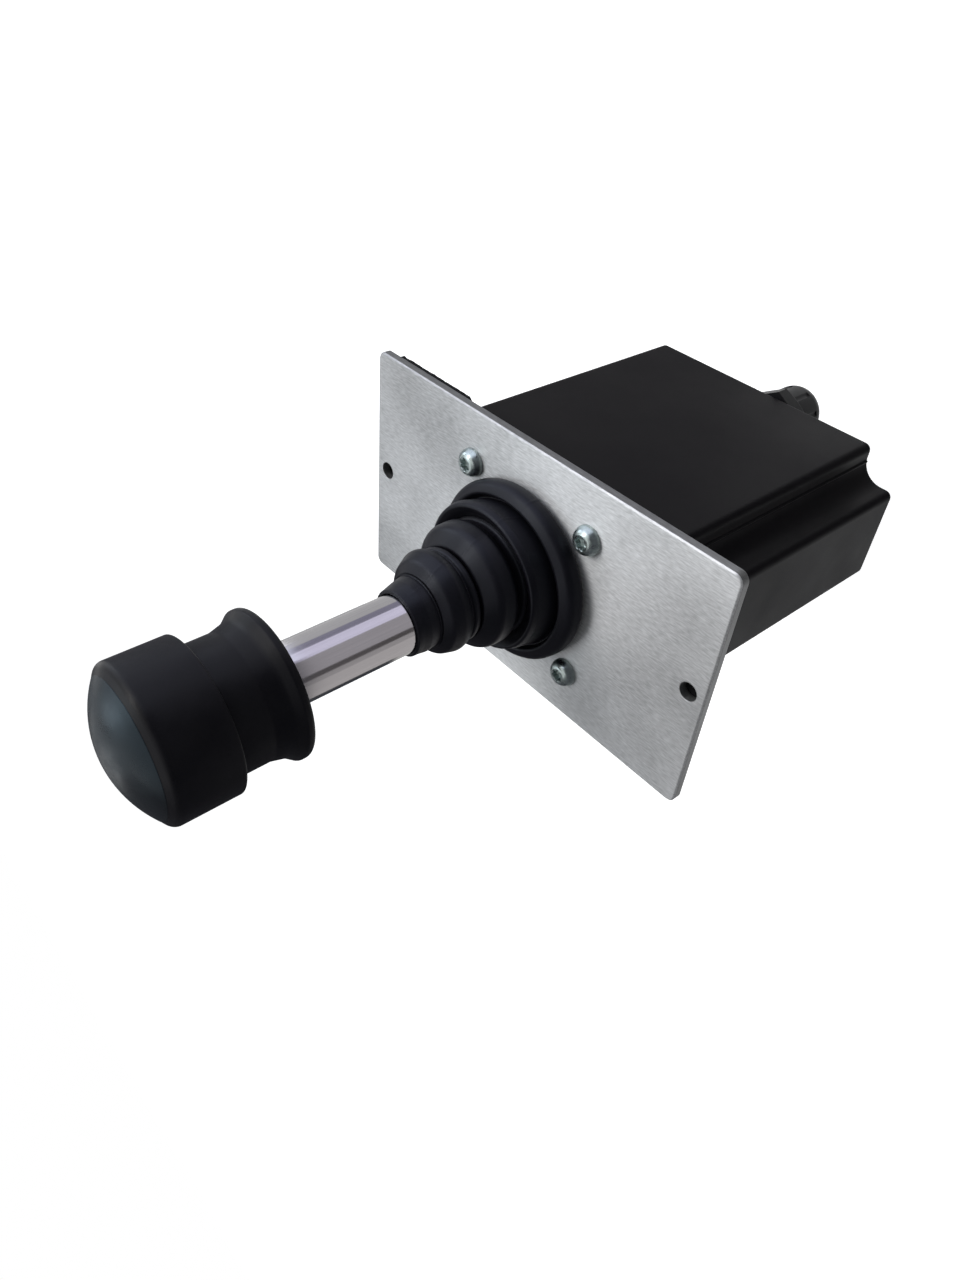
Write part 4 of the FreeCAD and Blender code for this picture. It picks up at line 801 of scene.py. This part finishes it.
@dataclass
class LeverGrip:
    """Knob cap, release collar and the collar's spring at the lever's tip."""

    rim: float = 97.42
    cap_radius: float = 19.4
    apex: float = 120.22
    dome_radius: float = 28.6
    dome_steps: int = 18
    dome_inset: float = 0.4
    edge_round: float = 2.3
    worn_sheen_above: float = 0.05
    worn_sheen_depth: float = 0.12
    socket_radius: float = 16.5
    ceiling: float = 106.22
    bore_radius: float = 6.5
    bore_depth: float = 9.02
    collar_low: float = 79.92
    collar_high: float = 98.92
    collar_bore: float = 8.05
    mouth_radius: float = 9.25
    mouth_height: float = 1.7
    mouth_depth: float = 3.0
    underside_radius: float = 15.7
    underside_height: float = 0.75
    foot_radius: float = 16.8
    flange_radius: float = 18.9
    flange_height: float = 2.0
    flare_radius: float = 17.05
    flare_height: float = 4.3
    neck_radius: float = 16.0
    neck_height: float = 8.4
    guide_height: float = 1.0
    pocket: float = 5.0
    pocket_radii: tuple[float, float] = (9.9, 12.1)
    spring_radius: float = 11.0
    spring_wire: float = 1.2
    spring_turns: float = 3.5
    spring_gap: float = 0.05
    spring_steps: int = 126
    collar_travel: float = 6.0
    spokes: int = 160
    crease: float = 40.0

    def build(self) -> list[bpy.types.Object]:
        """Makes the cap, its worn top, the collar and the spring between them.

        Returns:
            The pieces made.
        """
        # Makes the cap, its worn top with its painted sheen, the collar and the spring between them.
        return [self._cap(), self._worn_sheen_top(), self._collar(), self._spring()]

    def _dome(self, radius: float, reach: float) -> Profile:
        """Arc of the dome from its foot to the axis.

        Args:
            radius: Radius of the dome's sphere, in millimetres.
            reach: How far from the axis the arc starts, in millimetres.

        Returns:
            The arc's points in millimetres.
        """
        centre = self.apex - self.dome_radius
        start = math.asin(reach / radius)
        turns = [start * (1 - step / self.dome_steps) for step in range(self.dome_steps + 1)]
        return [(radius * math.sin(turn), centre + radius * math.cos(turn)) for turn in turns]

    def _turned(self, name: str, profile: Profile, poles: bool, finish: Finish = GRIP) -> bpy.types.Object:
        """Turns an outline round the lever's axis.

        Args:
            name: The piece's name.
            profile: Outline in millimetres, upwards outside.
            poles: Whether it starts and ends on the axis, instead of closing on itself.
            finish: The finish that it takes.

        Returns:
            The piece.
        """
        rings = profile[1:-1] if poles else profile
        points = [Vector((r * math.cos(a), r * math.sin(a), z)) * MM for r, z in rings
                  for a in (2 * math.pi * spoke / self.spokes for spoke in range(self.spokes))]
        faces = ring_faces(len(rings), self.spokes, not poles)
        if poles:
            points += [Vector((0, 0, profile[0][1])) * MM, Vector((0, 0, profile[-1][1])) * MM]
            faces += cap_faces(0, self.spokes, len(points) - 2, False)
            faces += cap_faces(len(rings) - 1, self.spokes, len(points) - 1, True)
        return mesh_piece(name, points, faces, finish, self.crease)

    def _cap(self) -> bpy.types.Object:
        """Makes the domed cap with its socket.

        Returns:
            The piece that stands for the knob cap.
        """
        foot = self.cap_radius - self.dome_inset
        dome_foot = self.apex - self.dome_radius + math.sqrt(self.dome_radius ** 2 - foot ** 2)
        dome = self._dome(self.dome_radius - self.worn_sheen_above, self.cap_radius - self.edge_round)
        bore_end = self.ceiling + self.bore_depth
        below = rounded([
            (0.0, bore_end, 0),
            (self.bore_radius, bore_end, 0),
            (self.bore_radius, self.ceiling, 0),
            (self.socket_radius, self.ceiling, 0.8),
            (self.socket_radius, self.rim, 0.5),
            (self.cap_radius, self.rim, 0.35),
            (self.cap_radius, dome_foot, self.edge_round),
            dome[0] + (0,)], 8)
        piece = self._turned("knob_cap_shell", below + dome[1:], True)
        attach(piece, "lever")
        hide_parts("knob_cap")
        return piece

    def _worn_sheen_top(self) -> bpy.types.Object:
        """Makes the thin layer of the dome that hands have polished, whose teal-tinted finish also paints a
        sheen on it.

        Returns:
            The piece.
        """
        reach = self.cap_radius - self.edge_round
        below = self._dome(self.dome_radius - self.worn_sheen_depth, reach)[::-1]
        piece = self._turned("knob_worn_sheen_top", below + self._dome(self.dome_radius, reach), True, WORN_SHEEN_GRIP)
        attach(piece, "lever")
        return piece

    def _collar(self) -> bpy.types.Object:
        """Makes the spool-shaped collar with the pocket for its spring.

        Returns:
            The piece that stands for the release collar.
        """
        low, high, bore = self.collar_low, self.collar_high, self.collar_bore
        inner, outer = self.pocket_radii
        outline = rounded([
            (bore, low + self.mouth_depth, 0),
            (self.mouth_radius, low + self.mouth_height, 0.5),
            (self.underside_radius, low + self.underside_height, 1.0),
            (self.foot_radius, low, 0.5),
            (self.flange_radius, low, 0.95),
            (self.flange_radius, low + self.flange_height, 0.7),
            (self.flare_radius, low + self.flare_height, 4.5),
            (self.neck_radius, low + self.neck_height, 3.0),
            (self.neck_radius, high, 0.45),
            (outer, high, 0.2),
            (outer, high - self.pocket, 0.2),
            (inner, high - self.pocket, 0.2),
            (inner, high, 0.2),
            (bore, high, 0),
            (bore, high - self.guide_height, 0)], 7)
        piece = self._turned("collar_spool", outline, False)
        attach(piece, "collar")
        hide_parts("release_collar")
        return piece

    def _spring(self) -> bpy.types.Object:
        """Makes the collar's square-wire spring.

        Returns:
            The piece that stands for the collar's spring.
        """
        half, steps = self.spring_wire / 2, self.spring_steps
        low = self.collar_high - self.pocket + self.spring_gap
        high = self.ceiling - self.spring_gap
        points = []
        for step in range(steps + 1):
            angle = 2 * math.pi * self.spring_turns * step / steps
            middle = low + half + (high - low - 2 * half) * step / steps
            for out, rise in ((-half, half), (half, half), (half, -half), (-half, -half)):
                radius = self.spring_radius + out
                place = Vector((radius * math.cos(angle), radius * math.sin(angle), middle + rise))
                points.append(place * MM)
        last = 4 * steps
        faces = ring_faces(steps + 1, 4, False) + [(3, 2, 1, 0), (last, last + 1, last + 2, last + 3)]
        piece = mesh_piece("collar_coil", points, faces, SPRING_STEEL, self.crease)
        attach(piece, "lever")
        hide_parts("collar_spring")
        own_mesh(piece)
        return piece


@dataclass(frozen=True)
class Card:
    """Grey strip round the object that only shiny surfaces mirror, in degrees and metres."""

    name: str
    start: float
    end: float
    low: tuple[float, float]
    high: tuple[float, float]
    tone: Triple

    def stand(self) -> None:
        """Puts the card between its two rings (radius and height), unseen and without a shadow."""
        points = []
        for step in range(CARD_STEPS + 1):
            angle = math.radians(self.start + (self.end - self.start) * step / CARD_STEPS)
            points += [(radius * math.cos(angle), radius * math.sin(angle), height)
                       for radius, height in (self.low, self.high)]
        faces = [(2 * step, 2 * step + 1, 2 * step + 3, 2 * step + 2) for step in range(CARD_STEPS)]
        mesh = bpy.data.meshes.new(self.name)
        mesh.from_pydata(points, [], faces)
        panel = bpy.data.objects.new(self.name, mesh)
        bpy.context.scene.collection.objects.link(panel)
        material = bpy.data.materials.new(self.name)
        material.use_nodes = True
        shader = material.node_tree.nodes["Principled BSDF"]
        shader.inputs["Base Color"].default_value = (0.0, 0.0, 0.0, 1.0)
        shader.inputs["Emission Color"].default_value = (*self.tone, 1.0)
        shader.inputs["Emission Strength"].default_value = 1.0
        mesh.materials.append(material)
        panel.visible_camera = panel.visible_diffuse = panel.visible_shadow = False
        panel.visible_transmission = False


# Most cards stand on a wall of this radius, and some lie just above the floor.
WALL = 0.30
CARD_FLOOR = -0.162
FLOOR_EDGE = (WALL, CARD_FLOOR)
RING_FOOT, RING_MIDDLE, RING_TOP = (WALL, -0.16), (WALL, -0.04), (WALL, 0.46)
CARDS = (
    Card("card_grey", 127.0, 205.0, RING_FOOT, RING_MIDDLE, (0.60, 0.60, 0.60)),
    Card("card_violet", 104.0, 127.0, RING_FOOT, RING_MIDDLE, (0.31, 0.30, 0.39)),
    Card("card_bright", 70.0, 104.0, RING_FOOT, RING_MIDDLE, (0.95, 0.92, 1.12)),
    Card("card_dull", 16.0, 70.0, RING_FOOT, RING_MIDDLE, (0.47, 0.45, 0.47)),
    Card("card_black", -1.0, 16.0, RING_FOOT, RING_MIDDLE, (0.11, 0.10, 0.10)),
    Card("card_dim", -18.0, -1.0, RING_FOOT, RING_MIDDLE, (0.42, 0.40, 0.395)),
    Card("card_warm", -80.0, -18.0, RING_FOOT, RING_MIDDLE, (0.58, 0.555, 0.54)),
    Card("card_room", -123.0, 78.0, RING_MIDDLE, RING_TOP, (0.05, 0.05, 0.06)),
    Card("card_sky", 78.0, 150.0, RING_MIDDLE, (WALL, 0.27), (1.25, 1.30, 1.55)),
    Card("card_window", 99.0, 111.0, (0.29, 0.17), (0.29, 0.25), (4.0, 4.0, 4.2)),
    Card("card_shade", 150.0, 205.0, (WALL, -0.02), (WALL, 0.085), (0.16, 0.16, 0.18)),
    Card("card_teal", 178.0, 202.0, (0.44, 0.50), (WALL, 0.78), (3.2, 3.5, 3.7)),
    Card("card_glow", 221.0, 237.0, (WALL, 0.29), RING_TOP, (1.45, 1.48, 1.52)),
    Card("card_ceiling", 130.0, 222.0, (0.45, 0.25), (0.45, 0.80), (0.48, 0.50, 0.52)),
    Card("card_back", 205.0, 280.0, (WALL, -0.10), (WALL, 0.185), (0.030, 0.034, 0.040)),
    Card("card_back_low", 205.0, 280.0, RING_FOOT, (WALL, -0.10), (0.55, 0.54, 0.52)),
    Card("card_back_floor", 205.0, 280.0, (0.09, CARD_FLOOR), FLOOR_EDGE, (0.26, 0.28, 0.30)),
    Card("card_floor", 0.0, 78.0, (0.055, CARD_FLOOR), FLOOR_EDGE, (0.05, 0.05, 0.05)),
    Card("card_table", 105.0, 165.0, (0.06, CARD_FLOOR), FLOOR_EDGE, (0.62, 0.61, 0.62)),
)


@dataclass(frozen=True)
class Lamp:
    """Oval soft lamp that hangs at one place and points at another."""

    name: str
    place: Triple
    aim: Triple
    size: tuple[float, float]
    power: float
    colour: Triple
    mirrored: bool = True

    def hang(self) -> None:
        """Hangs the lamp, with its size along X and across it in metres and its power in watts."""
        data = bpy.data.lights.new(self.name, "AREA")
        data.shape = "ELLIPSE"
        data.size, data.size_y = self.size
        data.energy, data.color = self.power, self.colour
        back = (Vector(self.place) - Vector(self.aim)).normalized()
        along = back.cross(Vector((1.0, 0.0, 0.0))).normalized()
        lamp = bpy.data.objects.new(self.name, data)
        lamp.matrix_world = Matrix.Translation(self.place) @ Matrix(
            (along.cross(back), along, back)).transposed().to_4x4()
        bpy.context.scene.collection.objects.link(lamp)
        lamp.visible_glossy = self.mirrored


ORIGIN = (0.0, 0.0, 0.0)
LAMPS = (
    Lamp("key_lamp", (-0.38, 0.42, 0.62), ORIGIN, (0.40, 0.70), 4.4, (1.0, 0.99, 0.97)),
    Lamp("window_left", (-0.80, 0.39, 0.19), (0.0, 0.0, 0.03), (0.5, 0.5), 2.4, (0.78, 0.88, 1.0)),
    Lamp("fill_lamp", (0.75, 0.10, 0.20), ORIGIN, (0.6, 0.6), 0.5, (0.97, 0.98, 1.0), mirrored=False),
)


@dataclass
class Studio:
    """White surroundings, plain soft lamps and the camera at the photograph's place."""

    sky: Triple = (0.96, 0.98, 1.0)
    sky_strength: float = 0.38
    floor_height: float = -0.165
    floor_size: float = 8.0
    floor_tone: float = 0.80
    floor_roughness: float = 0.9
    floor_specular: float = 0.1
    floor_glow: float = 0.72
    camera_place: Triple = (0.14463, 0.15474, 0.15606)
    camera_right: Triple = (0.648, 0.076, -0.757)
    camera_back: Triple = (0.541, 0.654, 0.529)
    lens: float = 26.9
    sensor: float = 36.0
    nearest: float = 0.01

    def build(self) -> None:
        """Sets up surroundings, lamps and camera."""
        self._world()
        self._floor()
        for card in CARDS:
            card.stand()
        for lamp in LAMPS:
            lamp.hang()
        self._camera()
        bpy.context.scene.view_settings.view_transform = "Standard"

    def _seen(self, tree: bpy.types.NodeTree) -> bpy.types.NodeSocket:
        """Adds a switch that is 1 for rays that see the background.

        Args:
            tree: Nodes of the world or material.

        Returns:
            The switch's socket.
        """
        path = tree.nodes.new("ShaderNodeLightPath")
        first = tree.nodes.new("ShaderNodeMath")
        second = tree.nodes.new("ShaderNodeMath")
        first.operation = second.operation = "MAXIMUM"
        tree.links.new(path.outputs["Is Camera Ray"], first.inputs[0])
        tree.links.new(path.outputs["Is Glossy Ray"], first.inputs[1])
        tree.links.new(first.outputs["Value"], second.inputs[0])
        tree.links.new(path.outputs["Is Transmission Ray"], second.inputs[1])
        return second.outputs["Value"]

    def _world(self) -> None:
        """Makes the surroundings white to the eye and softer as light."""
        world = bpy.data.worlds.new("studio")
        bpy.context.scene.world = world
        world.use_nodes = True
        tree = world.node_tree
        light = tree.nodes["Background"]
        light.inputs["Color"].default_value = (*self.sky, 1.0)
        light.inputs["Strength"].default_value = self.sky_strength
        white = tree.nodes.new("ShaderNodeBackground")
        white.inputs["Color"].default_value = (1.0, 1.0, 1.0, 1.0)
        mix = tree.nodes.new("ShaderNodeMixShader")
        tree.links.new(self._seen(tree), mix.inputs["Fac"])
        tree.links.new(light.outputs["Background"], mix.inputs[1])
        tree.links.new(white.outputs["Background"], mix.inputs[2])
        tree.links.new(mix.outputs["Shader"], tree.nodes["World Output"].inputs["Surface"])

    def _floor(self) -> None:
        """Lays a white floor that keeps the object's shadow."""
        half, height = self.floor_size / 2, self.floor_height
        mesh = bpy.data.meshes.new("floor")
        mesh.from_pydata([(-half, -half, height), (half, -half, height), (half, half, height),
                          (-half, half, height)], [], [(0, 1, 2, 3)])
        floor = bpy.data.objects.new("floor", mesh)
        bpy.context.scene.collection.objects.link(floor)
        material = bpy.data.materials.new("floor_white")
        material.use_nodes = True
        tree = material.node_tree
        shader = tree.nodes["Principled BSDF"]
        shader.inputs["Base Color"].default_value = (*(self.floor_tone,) * 3, 1.0)
        shader.inputs["Roughness"].default_value = self.floor_roughness
        shader.inputs["Specular IOR Level"].default_value = self.floor_specular
        glow = tree.nodes.new("ShaderNodeEmission")
        glow.inputs["Strength"].default_value = self.floor_glow
        lit = tree.nodes.new("ShaderNodeAddShader")
        mix = tree.nodes.new("ShaderNodeMixShader")
        tree.links.new(shader.outputs["BSDF"], lit.inputs[0])
        tree.links.new(glow.outputs["Emission"], lit.inputs[1])
        tree.links.new(self._seen(tree), mix.inputs["Fac"])
        tree.links.new(shader.outputs["BSDF"], mix.inputs[1])
        tree.links.new(lit.outputs["Shader"], mix.inputs[2])
        tree.links.new(mix.outputs["Shader"], tree.nodes["Material Output"].inputs["Surface"])
        mesh.materials.append(material)

    def _camera(self) -> None:
        """Places the camera at the photograph's viewing angle."""
        right = Vector(self.camera_right).normalized()
        back = Vector(self.camera_back).normalized()
        up = back.cross(right).normalized()
        right = up.cross(back).normalized()
        data = bpy.data.cameras.new("camera")
        data.lens, data.sensor_width, data.clip_start = self.lens, self.sensor, self.nearest
        camera = bpy.data.objects.new("camera", data)
        camera.matrix_world = Matrix.Translation(self.camera_place) @ Matrix(
            (right, up, back)).transposed().to_4x4()
        bpy.context.scene.collection.objects.link(camera)
        bpy.context.scene.camera = camera


@dataclass
class Mechanism:
    """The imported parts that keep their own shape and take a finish."""

    finishes: dict[str, tuple[Finish, str]]

    def dress(self) -> int:
        """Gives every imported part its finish.

        Returns:
            How many parts were dressed.
        """
        for name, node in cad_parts.items():
            finish, slot = self.finishes[name]
            node.data.materials.clear()
            node.data.materials.append(finish.material())
        return len(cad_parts)


def main() -> None:
    """Dresses the joystick and sets up its picture."""
    logging.basicConfig(level=logging.INFO, format="%(name)s: %(message)s")
    LOG.info("dressed %d packed parts", Mechanism(NODE_FINISH).dress())
    for assembly in (FacePlate(), Bellows(), LeverGrip()):
        maker = type(assembly).__name__
        for piece in assembly.build():
            LOG.info("%s made %s with %d faces", maker, piece.name, len(piece.data.polygons))
    Studio().build()


if __name__ == "__main__":
    main()
